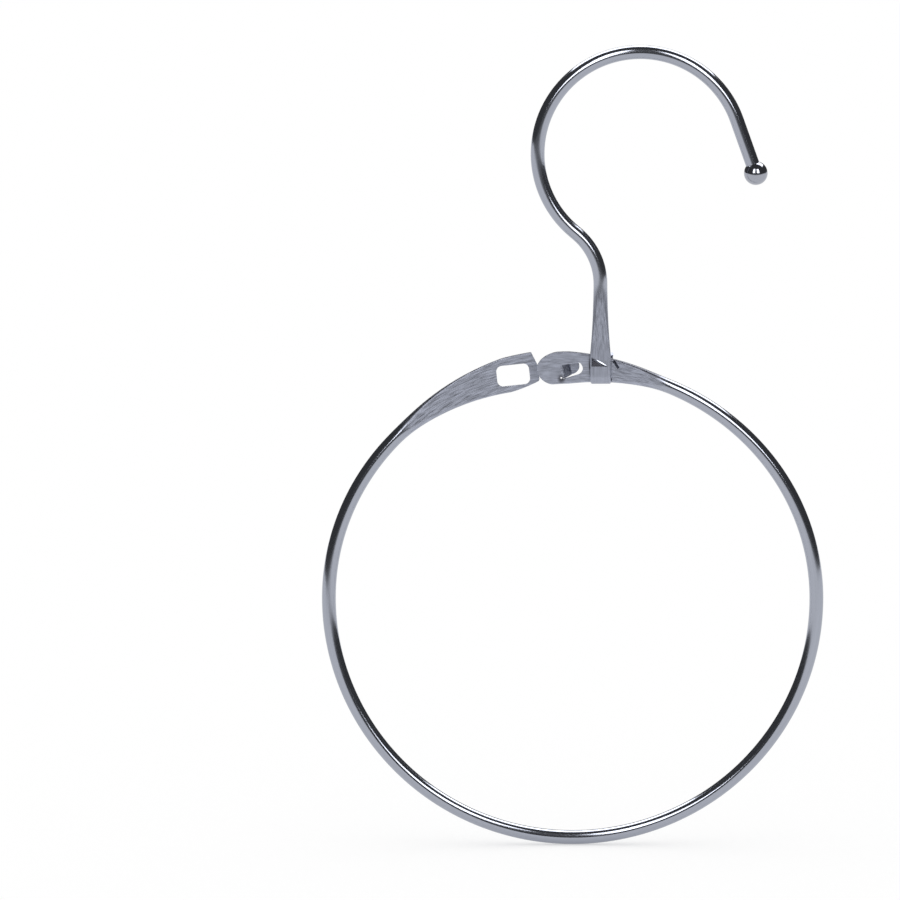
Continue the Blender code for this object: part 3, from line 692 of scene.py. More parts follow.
class Clasp:
    """Places and depths that the hook's strap, the tongue and the slotted plate share."""

    def __init__(self):
        strap = strap_sizes()
        tongue = tongue_sizes()
        self.tongue_end = RingEnd(-1, tongue)
        self.slotted_end = RingEnd(1, slotted_sizes(), slotted_sizes().sink)
        self.neck_foot = hook_pen().position
        self.shank_x = self.neck_foot.x
        self.plate_level = self.neck_foot.y - hook_sizes().shank_length
        shank_angle = acos((self.shank_x - ring_centre().x) / ring_sizes().half_width)
        self.strap_distance = ring_distance(self.tongue_end.tip, shank_angle)
        self.strap_reach = strap.width / 2 + strap.notch_gap
        self.wrapped_half = self.tongue_end.thickness_at(self.strap_distance + self.strap_reach) / 2
        self.strap_depth = self.wrapped_half + strap.seat_gap + strap.thickness / 2
        self.fold_drift = tan(strap.lean) * pi * self.strap_depth
        aside = (self.shank_x - ring_centre().x) / ring_sizes().half_width
        self.notch_shift = aside * tongue.width / 2
        plate_half = self.tongue_end.thickness_at(self.strap_distance - self.strap_reach) / 2
        slotted_half = self.slotted_end.thickness_at(0) / 2
        seated_back = plate_half + strap.seat_gap + 2 * slotted_half
        self.tongue_depth = seated_back + strap.seat_gap + tongue.thickness / 2

    def plate_edge_level(self, x, outwards):
        """Level of the tongue plate's upper (+1) or notched lower (-1) edge at a place along X."""
        at = acos((x - ring_centre().x) / ring_sizes().half_width)
        half = self.tongue_end.width_at(ring_distance(self.tongue_end.tip, at)) / 2
        reach = half if outwards > 0 else strap_sizes().notch - half
        return (ring_point(at) + ring_outward(at) * reach).z

    def strap_levels(self):
        """Levels about which the strap folds, under the plate's lower edge and over its upper one."""
        left, right = self.shank_x - self.strap_reach, self.shank_x + self.strap_reach
        lower = min(self.plate_edge_level(left, -1), self.plate_edge_level(right, -1)) + self.wrapped_half
        upper = max(self.plate_edge_level(left, 1), self.plate_edge_level(right, 1)) - self.wrapped_half
        return lower, upper


# Pieces of the ring

def resting_tilt(way=1.0):
    """Turn about the sideways axis that stands the slotted half back, or a share of it."""
    turned = Matrix.Rotation(-ring_sizes().resting_tilt * way, 4, SIDEWAYS_AXIS)
    return Matrix.Translation(SIDEWAYS_POINT) @ turned @ Matrix.Translation(-SIDEWAYS_POINT)


def flex_angles():
    """Ring angles, from the right, where the wire starts to bend, starts to twist and stops."""
    ring = ring_sizes()
    twist_start = -pi / 2 - ring.bend_span
    return -pi / 2 + ring.bend_span, twist_start, twist_start - ring.twist_span


def tongue_frame(clasp):
    """Root of the tongue, its direction and its upward side, in the plane of X and Z."""
    tongue = tongue_sizes()
    root = clasp.tongue_end.spot(tongue.setback, -tongue.drop)
    outward = ring_outward(clasp.tongue_end.angle(tongue.setback))
    along = Matrix.Rotation(tongue.tilt, 2) @ Vector((outward.z, -outward.x))
    return root, along, Vector((-along.y, along.x))


def tongue_hole_outline(clasp):
    """Hole that the tongue is lanced from."""
    tongue = tongue_sizes()
    root, along, upward = tongue_frame(clasp)
    reach = tongue.ramp + tongue.run + tongue.end_gap
    corners = [Vector((0, -tongue.root_lower - tongue.lower_gap)), Vector((reach, -tongue.end_lower)),
               Vector((reach - tongue.end_lean, tongue.end_upper + tongue.slit)),
               Vector((0, tongue.root_upper + tongue.slit))]
    outline = [corners[0]]
    outline += round_corner(corners[0], corners[1], corners[2], tongue.lower_radius)
    outline += round_corner(corners[1], corners[2], corners[3], tongue.upper_radius)
    outline.append(corners[3])
    return [root + along * point.x + upward * point.y for point in outline]


def relief_spot(clasp):
    """Place (x, z) of the small hole at the root's torn lower corner."""
    tongue = tongue_sizes()
    root, along, upward = tongue_frame(clasp)
    return root - along * tongue.relief_setback - upward * tongue.relief_drop


def relief_outline(clasp):
    middle = relief_spot(clasp)
    spoke = Vector((tongue_sizes().relief_radius, 0))
    return [middle + Matrix.Rotation(turn, 2) @ spoke for turn in spaced(0, 2 * pi, pi / 12)[1:]]


def tongue_stations(clasp):
    """Tongue that ramps backwards from its root and then runs level, cut off round from below."""
    tongue = tongue_sizes()
    root, along, upward = tongue_frame(clasp)
    rise, radius = clasp.tongue_depth, tongue.bend_radius
    slope = sqrt(tongue.ramp ** 2 + (rise - 2 * radius) ** 2 - 4 * radius ** 2)
    ramp_angle = atan2(rise - 2 * radius, tongue.ramp) + atan2(2 * radius, slope)
    pen = WirePen((-tongue.root_lower / 2, 0), 0)
    pen.straight(tongue.root_lower / 2, PLATE_STEP)
    pen.bend(radius, ramp_angle, TONGUE_BEND_STEP)
    pen.straight(slope, PLATE_STEP)
    pen.bend(radius, -ramp_angle, TONGUE_BEND_STEP)
    for step in range(TONGUE_END_STEPS):
        reach = sin(step / TONGUE_END_STEPS * pi / 2)
        pen.stations.append((Vector((tongue.ramp + tongue.run * reach, rise)), 0))
    side = Vector((upward.x, 0, upward.y))
    forward = Vector((along.x, 0, along.y))
    base = Vector((root.x, 0, root.y))
    tip = tongue.end_upper - tongue.crown
    sections = []
    for point, heading in pen.stations:
        way = clamp(point.x / tongue.ramp)
        upper = tongue.root_upper + (tongue.end_upper - tongue.root_upper) * way
        lower = tongue.root_lower + (tongue.end_lower - tongue.root_lower) * way
        past = max(point.x - tongue.ramp, 0)
        corner = max(past - tongue.run + tongue.crown, 0) / tongue.crown
        upper -= tongue.crown * (1 - sqrt(1 - corner * corner))
        lower = (lower + tip) * sqrt(1 - (past / tongue.run) ** 2) - tip
        face = Y_AXIS * cos(heading) - forward * sin(heading)
        sections.append(station(base + forward * point.x + Y_AXIS * point.y, side, face,
                                upper, lower, tongue.thickness, 1.0))
    return sections


def tongue_end_stations(clasp):
    """Sections of the tongue end, from past its tip to where the ring starts to flex."""
    end = clasp.tongue_end
    strap = strap_sizes()
    middle = clasp.strap_distance + clasp.notch_shift
    start = middle - clasp.strap_reach
    stop = middle + clasp.strap_reach + clasp.fold_drift * strap.notch_drift
    sections = [end.station(d) for d in spaced(-ring_sizes().trim, start - strap.shoulder, PLATE_STEP)]
    sections += [end.station(d, strap.notch) for d in spaced(start, stop, PLATE_STEP)]
    sections += [end.station(d) for d in spaced(stop + strap.shoulder, end.reach, PLATE_STEP)]
    return sections + wire_stations(end.angle(end.reach), flex_angles()[0])[1:]


def nose_outline():
    """Nose of the tongue plate, rounder below than above."""
    tongue = tongue_sizes()
    half = tongue.width / 2 + strap_sizes().die_gap
    outline = []
    for at in spaced(pi / 2, -pi / 2, NOSE_STEP):
        nose, reach = (tongue.nose_above, half + tongue.crest) if at > 0 else (tongue.nose_below, half)
        outline.append(Vector((nose * (1 - cos(at)), reach * sin(at))))
    return outline


def punch_spot(clasp):
    tongue = tongue_sizes()
    x = clasp.shank_x + strap_sizes().width / 2 + tongue.punch_setoff
    return Vector((x, -clasp.wrapped_half, clasp.plate_level + tongue.punch_lift))


def punch_mark(clasp):
    """Wedge that leaves a slanting V mark in the plate's front, beside the strap."""
    tongue = tongue_sizes()
    mesh_data = bmesh.new()
    bmesh.ops.create_cone(mesh_data, cap_ends=True, segments=4, radius1=tongue.punch_depth,
                          radius2=tongue.punch_depth, depth=tongue.punch_length)
    place = Matrix.Translation(punch_spot(clasp))
    turn = Matrix.Rotation(tongue.punch_lean - pi / 2, 4, "Y")
    bmesh.ops.transform(mesh_data, matrix=place @ turn, verts=mesh_data.verts)
    return new_solid("punch_mark", mesh_data)


def window_corners(clasp, inset=0.0):
    """Three-cornered window of the strap, its peak at the left, drawn in by an inset."""
    strap = strap_sizes()
    left = clasp.shank_x - strap.width / 2 + strap.window_margin
    base = clasp.plate_level + strap.window_lift
    right = left + strap.window_width - strap.window_slope * inset
    return [Vector((left + inset, base)), Vector((right, base)),
            Vector((left + inset, base + strap.window_height - inset))]


def window_bead(clasp):
    """Turned-up rim along the window's slope, tapered towards both ends."""
    strap = strap_sizes()
    front = -clasp.strap_depth - strap.thickness / 2
    corners = window_corners(clasp)
    start, end = (Vector((corner.x, front, corner.y)) for corner in (corners[2], corners[1]))
    along = (end - start).normalized()
    upright = along.cross(Y_AXIS)
    side = upright * cos(strap.bead_turn) + Y_AXIS * sin(strap.bead_turn)
    face = Y_AXIS * cos(strap.bead_turn) - upright * sin(strap.bead_turn)
    sections = []
    for way in spaced(BEAD_STEP / 2, 1 - BEAD_STEP / 2, BEAD_STEP):
        half = strap.bead / 2 * sqrt(sin(pi * way))
        place = start.lerp(end, strap.bead_start + (strap.bead_end - strap.bead_start) * way)
        sections.append(station(place, side, face, half, half, half))
    return sections


def tooth(name, clasp, inset, overhang):
    """Tooth bent inwards about the window's lower edge; the inset is negative for its dent."""
    strap = strap_sizes()
    corners = window_corners(clasp, inset)
    corners[2].y = corners[0].y + strap.tooth_length - inset
    corners[0].y -= overhang
    corners[1].y -= overhang
    half = strap.tooth_thickness / 2 - min(inset, 0)
    shape = prism(name, corners, -half, half)
    reach = clasp.strap_depth - clasp.wrapped_half + strap.bite - strap.tooth_thickness / 2
    tilt = asin(reach / strap.tooth_length)
    hinge = Vector((0, -clasp.strap_depth, clasp.plate_level + strap.window_lift))
    about_hinge = Matrix.Translation(hinge) @ Matrix.Rotation(-tilt, 4, "X")
    shape.data.transform(about_hinge @ Matrix.Translation((0, 0, -hinge.z)))
    return shape


def bevelled_outline():
    """Blunt tip of the slotted plate, bevelled above and below."""
    plate = slotted_sizes()
    half = plate.width / 2
    gap, lower_gap = strap_sizes().running_gap, strap_sizes().die_gap
    slope = plate.upper_bevel_length / plate.upper_bevel_depth
    top = half + plate.crest
    corners = [Vector((plate.upper_bevel_length + slope * gap, top + gap)),
               Vector((0, top - plate.upper_bevel_depth)),
               Vector((0, plate.lower_bevel_depth - half))]
    hollow = [Vector((plate.lower_bevel_length * way, plate.lower_bevel_depth * (1 - way) ** 2 - half))
              for way in spaced(plate.lower_bevel_start, 1, BEVEL_STEP)]
    return ([corners[0]] + round_corner(corners[0], corners[1], corners[2], plate.corner_radius)
            + round_corner(corners[1], corners[2], hollow[0], plate.corner_radius) + hollow
            + [hollow[-1] - Vector((0, lower_gap))])


def slot_outline(clasp):
    """Rounded slot, turned a little against the plate so that it lies level when latched."""
    plate = slotted_sizes()
    distance = plate.bridge + plate.slot_length / 2
    centre = clasp.slotted_end.spot(distance, -plate.slot_drop)
    outward = ring_outward(clasp.slotted_end.angle(distance))
    along = Matrix.Rotation(-plate.twist, 2) @ Vector((outward.z, -outward.x))
    across = Vector((-along.y, along.x))
    half_length, half_height = plate.slot_length / 2, plate.slot_height / 2
    corners = [centre + along * x * half_length + across * z * half_height
               for x, z in ((-1, -1), (1, -1), (1, 1), (-1, 1))]
    return rounded_outline(corners, plate.slot_radius)


# Finishes

class Finish:
    """A new material, with short ways to add and join its nodes."""

    def __init__(self, name):
        self.material = bpy.data.materials.new(name)
        self.material.use_nodes = True
        self.nodes = self.material.node_tree.nodes
        self.links = self.material.node_tree.links
        self.shader = self.nodes["Principled BSDF"]

    def feed(self, node, inputs):
        """Set a node's inputs to constants, or link them to other nodes' outputs."""
        for name, value in inputs.items():
            if isinstance(value, bpy.types.NodeSocket):
                self.links.new(value, node.inputs[name])
            else:
                node.inputs[name].default_value = value

    def add(self, kind, output, inputs, **settings):
        """One output of a new node that is given its settings and inputs."""
        node = self.nodes.new(kind)
        for name, setting in settings.items():
            setattr(node, name, setting)
        self.feed(node, inputs)
        return node.outputs[output]

    def math(self, operation, *values, clamped=False):
        return self.add("ShaderNodeMath", 0, dict(enumerate(values)), operation=operation,
                        use_clamp=clamped)

    def vector_math(self, operation, *values, output="Vector"):
        return self.add("ShaderNodeVectorMath", output, dict(enumerate(values)), operation=operation)

    def mix(self, factor, first, second):
        """Colour between two others. A Mix node's sockets for colours are inputs 6 and 7 and output 2."""
        return self.add("ShaderNodeMix", 2, {"Factor": factor, 6: first, 7: second}, data_type="RGBA")

    def attribute(self, name, output="Fac"):
        return self.add("ShaderNodeAttribute", output, {}, attribute_name=name)

    def place(self):
        """Each point's place on the piece."""
        return self.add("ShaderNodeTexCoord", "Object", {})

    def map_range(self, value, span, result, **settings):
        """Value that runs from result[0] to result[1] while the given one runs over a span."""
        inputs = {"Value": value, "From Min": span[0], "From Max": span[1],
                  "To Min": result[0], "To Max": result[1]}
        return self.add("ShaderNodeMapRange", "Result", inputs, **settings)

    def noise(self, place, fineness, stretch=1.0, detail=3.0, contrast=1.0):
        """Noise round a half. A stretch below 1 draws it out along the third axis."""
        drawn = self.add("ShaderNodeMapping", "Vector", {"Vector": place, "Scale": (1, 1, stretch)})
        inputs = {"Vector": drawn, "Scale": fineness, "Detail": detail}
        centred = self.math("SUBTRACT", self.add("ShaderNodeTexNoise", "Fac", inputs), 0.5)
        return self.math("ADD", self.math("MULTIPLY", centred, contrast), 0.5, clamped=True)

    def toned(self, colour, noise, darkest, lightest):
        """Colour that a noise makes darker or lighter, each by its factor."""
        return self.mix(noise, tone(colour, darkest), tone(colour, lightest))

    def uneven(self, middle, noise, spread):
        """Value that varies round a middle with a noise."""
        return self.math("MULTIPLY_ADD", noise, spread, middle - spread / 2)

    def bump(self, relief, strength, height):
        inputs = {"Height": relief, "Strength": strength, "Distance": height}
        return self.add("ShaderNodeBump", "Normal", inputs)

    def shown_rays(self):
        """1 for rays from the camera and from shiny or clear surfaces, 0 for the rest."""
        path = self.nodes.new("ShaderNodeLightPath").outputs
        shown = self.math("MAXIMUM", path["Is Camera Ray"], path["Is Glossy Ray"])
        return self.math("MAXIMUM", shown, path["Is Transmission Ray"])


def tone(shade, factor=1.0):
    """Colour with a full alpha, made darker or lighter by a factor."""
    return tuple(min(value * factor, 1) for value in shade) + (1,)


# Patch of painted shade: a darker place standing in for shade in a corner or recess
PaintedShade = namedtuple("PaintedShade", "middle reach core strength")


def painted_shade_share(finish, place, shade_patch):
    """Share of painted shade that is a patch's strength in its core and falls to 0 at its reach along each
    axis.
    """
    offset = finish.vector_math("SUBTRACT", place, shade_patch.middle)
    scaled = finish.vector_math("DIVIDE", offset, shade_patch.reach)
    distance = finish.vector_math("LENGTH", scaled, output="Value")
    return finish.map_range(distance, (1, shade_patch.core), (0, shade_patch.strength),
                            interpolation_type="SMOOTHSTEP")


def ring_painted_shade(clasp):
    """Painted shade: in the tongue's torn corner, in the corner beside the strap and in the punch mark."""
    front = -clasp.wrapped_half
    torn = relief_spot(clasp)
    beside = clasp.shank_x - strap_sizes().width / 2
    under_hole, over_middle, into_plate = 0.0002, 0.0012, 0.0004
    return [
        PaintedShade(middle=Vector((torn.x, front, torn.y - under_hole)),
              reach=Vector((0.0014, 0.0012, 0.0016)), core=0.3, strength=0.85),
        PaintedShade(middle=Vector((beside, front, clasp.plate_level + over_middle)),
              reach=Vector((0.00045, 0.0008, 0.0034)), core=0.3, strength=0.85),
        PaintedShade(middle=punch_spot(clasp) + Y_AXIS * into_plate,
              reach=Vector((0.0012, 0.0005, 0.0016)), core=0.4, strength=0.4),
    ]


def hook_painted_shade(clasp):
    """Painted shade on the strap: the tooth in its window."""
    corners = window_corners(clasp)
    middle = (corners[0] * 2 + corners[1] + corners[2]) / 4
    behind_strap = 0.0006
    return [PaintedShade(middle=Vector((middle.x, behind_strap - clasp.strap_depth, middle.y)),
                  reach=Vector((0.005, 0.00115, 0.004)), core=0.82, strength=1)]


def plated_wire(name, painted_shades, streaks):
    """Bright plate with faint lengthwise drawing lines, brushed where the wire is pressed flat, with
    painted shade in patches and, where marked, on its outer rims.
    """
    look = looks()
    finish = Finish(name)
    grain = finish.attribute("grain", "Vector")
    flat = finish.attribute("pressed")
    lines = finish.noise(grain, fineness=2600, stretch=0.012)
    brush = finish.noise(grain, fineness=4400, stretch=0.065, detail=4, contrast=3)
    blotches = finish.noise(grain, fineness=420, stretch=0.3, detail=2)

    wire_tone = finish.toned(look.wire_colour, lines, darkest=0.9, lightest=1.07)
    flat_tone = finish.toned(look.flat_colour, brush, darkest=1 - streaks, lightest=1 + 1.3 * streaks)
    metal = finish.mix(flat, wire_tone, flat_tone)
    # Painted shade along the plates' outer rims
    rim_shade = finish.math("MULTIPLY", finish.attribute("rim"), look.rim_shade_strength)
    # Dark colour of the painted shade, for the outer rims and the patches
    painted_shade_tone = tone(look.painted_shade_colour)
    metal = finish.mix(rim_shade, metal, painted_shade_tone)
    place = finish.place()
    # Painted shade: each patch darkens the metal towards the dark colour, standing in for shade in a corner
    # or recess
    for shade_patch in painted_shades:
        metal = finish.mix(painted_shade_share(finish, place, shade_patch), metal, painted_shade_tone)

    wire_rough = finish.uneven(look.wire_roughness, blotches, spread=0.06)
    flat_rough = finish.uneven(look.flat_roughness, brush, spread=0.2)
    rougher = finish.math("SUBTRACT", flat_rough, wire_rough)
    rough = finish.math("MULTIPLY_ADD", rougher, flat, wire_rough)
    line_relief = finish.math("MULTIPLY", lines, look.line_relief)
    relief = finish.math("ADD", finish.math("MULTIPLY", flat, brush), line_relief)
    normal = finish.bump(relief, strength=1.25 * streaks, height=0.00003)
    finish.feed(finish.shader, {"Base Color": metal, "Roughness": rough, "Normal": normal, "Metallic": 1})
    return finish.material


def plated_ball(name):
    """Mirror plate with the slight unevenness of a small tumbled ball."""
    look = looks()
    finish = Finish(name)
    place = finish.place()
    waves = finish.noise(place, fineness=260, detail=2)
    specks = finish.noise(place, fineness=2400)
    metal = finish.toned(look.ball_colour, specks, darkest=0.93, lightest=1.05)
    rough = finish.uneven(look.ball_roughness, specks, spread=0.05)
    normal = finish.bump(waves, strength=0.15, height=0.00005)
    finish.feed(finish.shader, {"Base Color": metal, "Roughness": rough, "Normal": normal, "Metallic": 1})
    return finish.material


def ring_plate(clasp):
    """The one finish that all pieces of the ring share."""
    name = "ring_plate"
    return bpy.data.materials.get(name) or plated_wire(name, ring_painted_shade(clasp), streaks=0.2)


# Operators

class HANGER_OT_tongue_end(Operator):
    """Model the ring's right half with its tongue plate, down to where the wire flexes"""
    bl_idname = "hanger.tongue_end"
    bl_label = "Tongue End"

    def execute(self, context):
        clasp = Clasp()
        deep = tongue_sizes().width
        sections = tongue_end_stations(clasp)
        tongue = tongue_stations(clasp)
        piece = sweep("ring_tongue_end", sections)
        carve(piece, tip_die("tongue_tip_die", clasp.tongue_end, nose_outline()))
        carve(piece, prism("tongue_hole", tongue_hole_outline(clasp), -deep, deep))
        carve(piece, sweep("tongue", tongue, box_loop), "UNION")
        carve(piece, prism("relief_hole", relief_outline(clasp), -deep, deep))
        carve(piece, tooth("tooth_dent", clasp, -strap_sizes().seat_gap, 0))
        carve(piece, punch_mark(clasp))
        mark_grain(piece, sections, painted_rim_shade=True)
        finish_mesh(piece, ring_plate(clasp), ring_sizes().worn_edge)
        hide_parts("ring_tongue_arm")
        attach(piece, "tongue_arm")
        return {"FINISHED"}


class HANGER_OT_flexing_wire(Operator):
    """Model the two stretches of wire at the ring's bottom and lower left"""
    bl_idname = "hanger.flexing_wire"
    bl_label = "Flexing Wire"

    def execute(self, context):
        bend_start, twist_start, twist_end = flex_angles()
        start, end = ring_point(twist_start), ring_point(twist_end)
        piece = self.stretch("ring_bottom", wire_stations(bend_start, twist_start))
        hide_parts("ring_spring_bend")
        ring_point(bend_start)
        ring_point(twist_start)
        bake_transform(piece)

        sections = []
        for section in wire_stations(twist_start, twist_end):
            way = (section.place.translation - start).dot(end - start) / (end - start).length_squared
            tilt = resting_tilt(smooth_step(clamp(way)))
            sections.append(section._replace(place=tilt @ section.place))
        piece = self.stretch("ring_lower_left", sections)
        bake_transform(piece)
        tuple(start)
        return {"FINISHED"}

    def stretch(self, name, sections):
        """Piece of the round wire through a row of sections."""
        piece = sweep(name, sections)
        mark_grain(piece, sections)
        finish_mesh(piece, ring_plate(Clasp()))
        return piece


class HANGER_OT_slotted_end(Operator):
    """Model the ring's left half with its slotted plate, standing back a little"""
    bl_idname = "hanger.slotted_end"
    bl_label = "Slotted End"

    def execute(self, context):
        clasp = Clasp()
        end = clasp.slotted_end
        deep = slotted_sizes().width
        sections = [end.station(d) for d in spaced(-ring_sizes().trim, end.reach, PLATE_STEP)]
        sections += wire_stations(end.angle(end.reach), 2 * pi + flex_angles()[2])[1:]
        piece = sweep("ring_slotted_end", sections)
        carve(piece, tip_die("slotted_tip_die", end, bevelled_outline()))
        carve(piece, prism("slot", slot_outline(clasp), -deep, deep))
        mark_grain(piece, sections, painted_rim_shade=True)
        piece.data.transform(resting_tilt())
        finish_mesh(piece, ring_plate(clasp), ring_sizes().worn_edge)
        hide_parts("ring_slotted_arm")
        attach(piece, "slotted_arm")
        return {"FINISHED"}


class HANGER_OT_hook(Operator):
    """Bend the hook and press its foot to a strap, wrapped round the tongue plate and staked"""
    bl_idname = "hanger.hook"
    bl_label = "Hook"

    def execute(self, context):
        clasp = Clasp()
        strap = strap_sizes()
        lower, upper = clasp.strap_levels()
        plate_top = upper + clasp.wrapped_half
        sections = self.wire_and_shank_stations(clasp, plate_top)
        sections += self.wrapped_stations(clasp, lower, upper, plate_top)
        hook = sweep("hook", sections)
        self.round_fold(hook, clasp, lower)
        front = -clasp.strap_depth - strap.thickness
        back = -clasp.wrapped_half - strap.seat_gap / 2
        carve(hook, prism("tooth_window", window_corners(clasp), front, back))
        carve(hook, tooth("tooth", clasp, strap.seat_gap, strap.thickness / 2), "UNION")
        carve(hook, sweep("window_bead", window_bead(clasp), box_loop), "UNION")
        mark_grain(hook, sections)
        self.polish_bead(hook, clasp)
        material = plated_wire("hook_plate", hook_painted_shade(clasp), streaks=0.08)
        finish_mesh(hook, material, hook_sizes().worn_edge)
        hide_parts("hook_wire")
        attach(hook, "tongue_arm")
        return {"FINISHED"}

    def wire_and_shank_stations(self, clasp, plate_top):
        """Sections of the hook's round wire and of its shank, pressed out to the strap's width."""
        strap, wire = strap_sizes(), hook_sizes().wire
        sections = []
        for point, heading in hook_pen().stations:
            side = Vector((-sin(heading), 0, cos(heading)))
            sections.append(station(Vector((point.x, 0, point.y)), side, Y_AXIS, wire / 2, wire / 2, wire))
        foot = clasp.neck_foot.y
        for level in spaced(foot, plate_top, PLATE_STEP)[1:]:
            way = (level - foot) / (plate_top - foot)
            width = wire + (strap.width - wire) * way * way
            thickness = wire + (strap.thickness - wire) * smooth_step(way)
            centre = Vector((clasp.shank_x, -clasp.strap_depth * smooth_step(way), level))
            sections.append(station(centre, X_AXIS, Y_AXIS, width / 2, width / 2, thickness,
                                    clamp(way / hook_sizes().brushed_from)))
        return sections

    def round_fold(self, hook, clasp, lower):
        """Raise the fold's two corners, so that it is rounded at its sides."""
        strap = strap_sizes()
        depth = clasp.strap_depth + strap.thickness / 2
        for vertex in hook.data.vertices:
            below = clamp((lower - vertex.co.z) / depth)
            drift = clasp.fold_drift * (vertex.co.y + clasp.strap_depth) / clasp.strap_depth / 2
            aside = abs(vertex.co.x - clasp.shank_x - drift) / (strap.width / 2)
            vertex.co.z += strap.corner_rise * below * clamp((aside - 1) / strap.corner_share + 1) ** 2

    def polish_bead(self, hook, clasp):
        """Mark the window's rim as not brushed."""
        near = strap_sizes().bead * strap_sizes().bead_polish
        points = [section.place.translation for section in window_bead(clasp)]
        brushed = hook.data.attributes["pressed"].data
        for vertex, value in zip(hook.data.vertices, brushed):
            if min((vertex.co - point).length for point in points) < near:
                value.value = 0

    def wrapped_stations(self, clasp, lower, upper, plate_top):
        """Sections of the strap down the plate's front, under it, up its back and over its edge."""
        strap = strap_sizes()
        wrap = WirePen((-clasp.strap_depth, plate_top), -pi / 2)
        wrap.straight(plate_top - lower, PLATE_STEP)
        wrap.bend(clasp.strap_depth, pi, FOLD_STEP)
        wrap.straight(upper - lower, PLATE_STEP)
        wrap.bend(clasp.strap_depth, strap.curl, FOLD_STEP)
        sections = []
        walked = lower - plate_top
        before = wrap.stations[0][0]
        for point, heading in wrap.stations[1:]:
            walked += (point - before).length
            before = point
            centre = Vector((clasp.shank_x + tan(strap.lean) * max(walked, 0), point.x, point.y))
            face = Vector((0, -sin(heading), cos(heading)))
            sections.append(station(centre, X_AXIS, face, strap.width / 2, strap.width / 2,
                                    strap.thickness, 1.0))
        return sections


class HANGER_OT_ball(Operator):
    """Turn the ball and seat it on the hook's end"""
    bl_idname = "hanger.ball"
    bl_label = "Ball"

    def execute(self, context):
        hook = hook_sizes()
        mesh_data = bmesh.new()
        bmesh.ops.create_uvsphere(mesh_data, u_segments=BALL_SIDES, v_segments=BALL_SIDES // 2,
                                  radius=hook.ball / 2)
        everything = mesh_data.verts[:] + mesh_data.edges[:] + mesh_data.faces[:]
        cut = bmesh.ops.bisect_plane(mesh_data, geom=everything, plane_co=(0, 0, ball_flat()),
                                     plane_no=(0, 0, 1), clear_outer=True)
        rim = [item for item in cut["geom_cut"] if isinstance(item, bmesh.types.BMEdge)]
        bmesh.ops.contextual_create(mesh_data, geom=rim)
        centre = ball_centre()
        place = Matrix.Translation((centre.x, 0, centre.y))
        lean = Matrix.Rotation(-hook.tail_lean, 4, "Y")
        bmesh.ops.transform(mesh_data, matrix=place @ lean, verts=mesh_data.verts)
        ball = new_solid("ball", mesh_data)
        finish_mesh(ball, plated_ball("ball_plate"), hook.worn_edge)
        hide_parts("hook_ball")
        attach(ball, "tongue_arm")
        return {"FINISHED"}


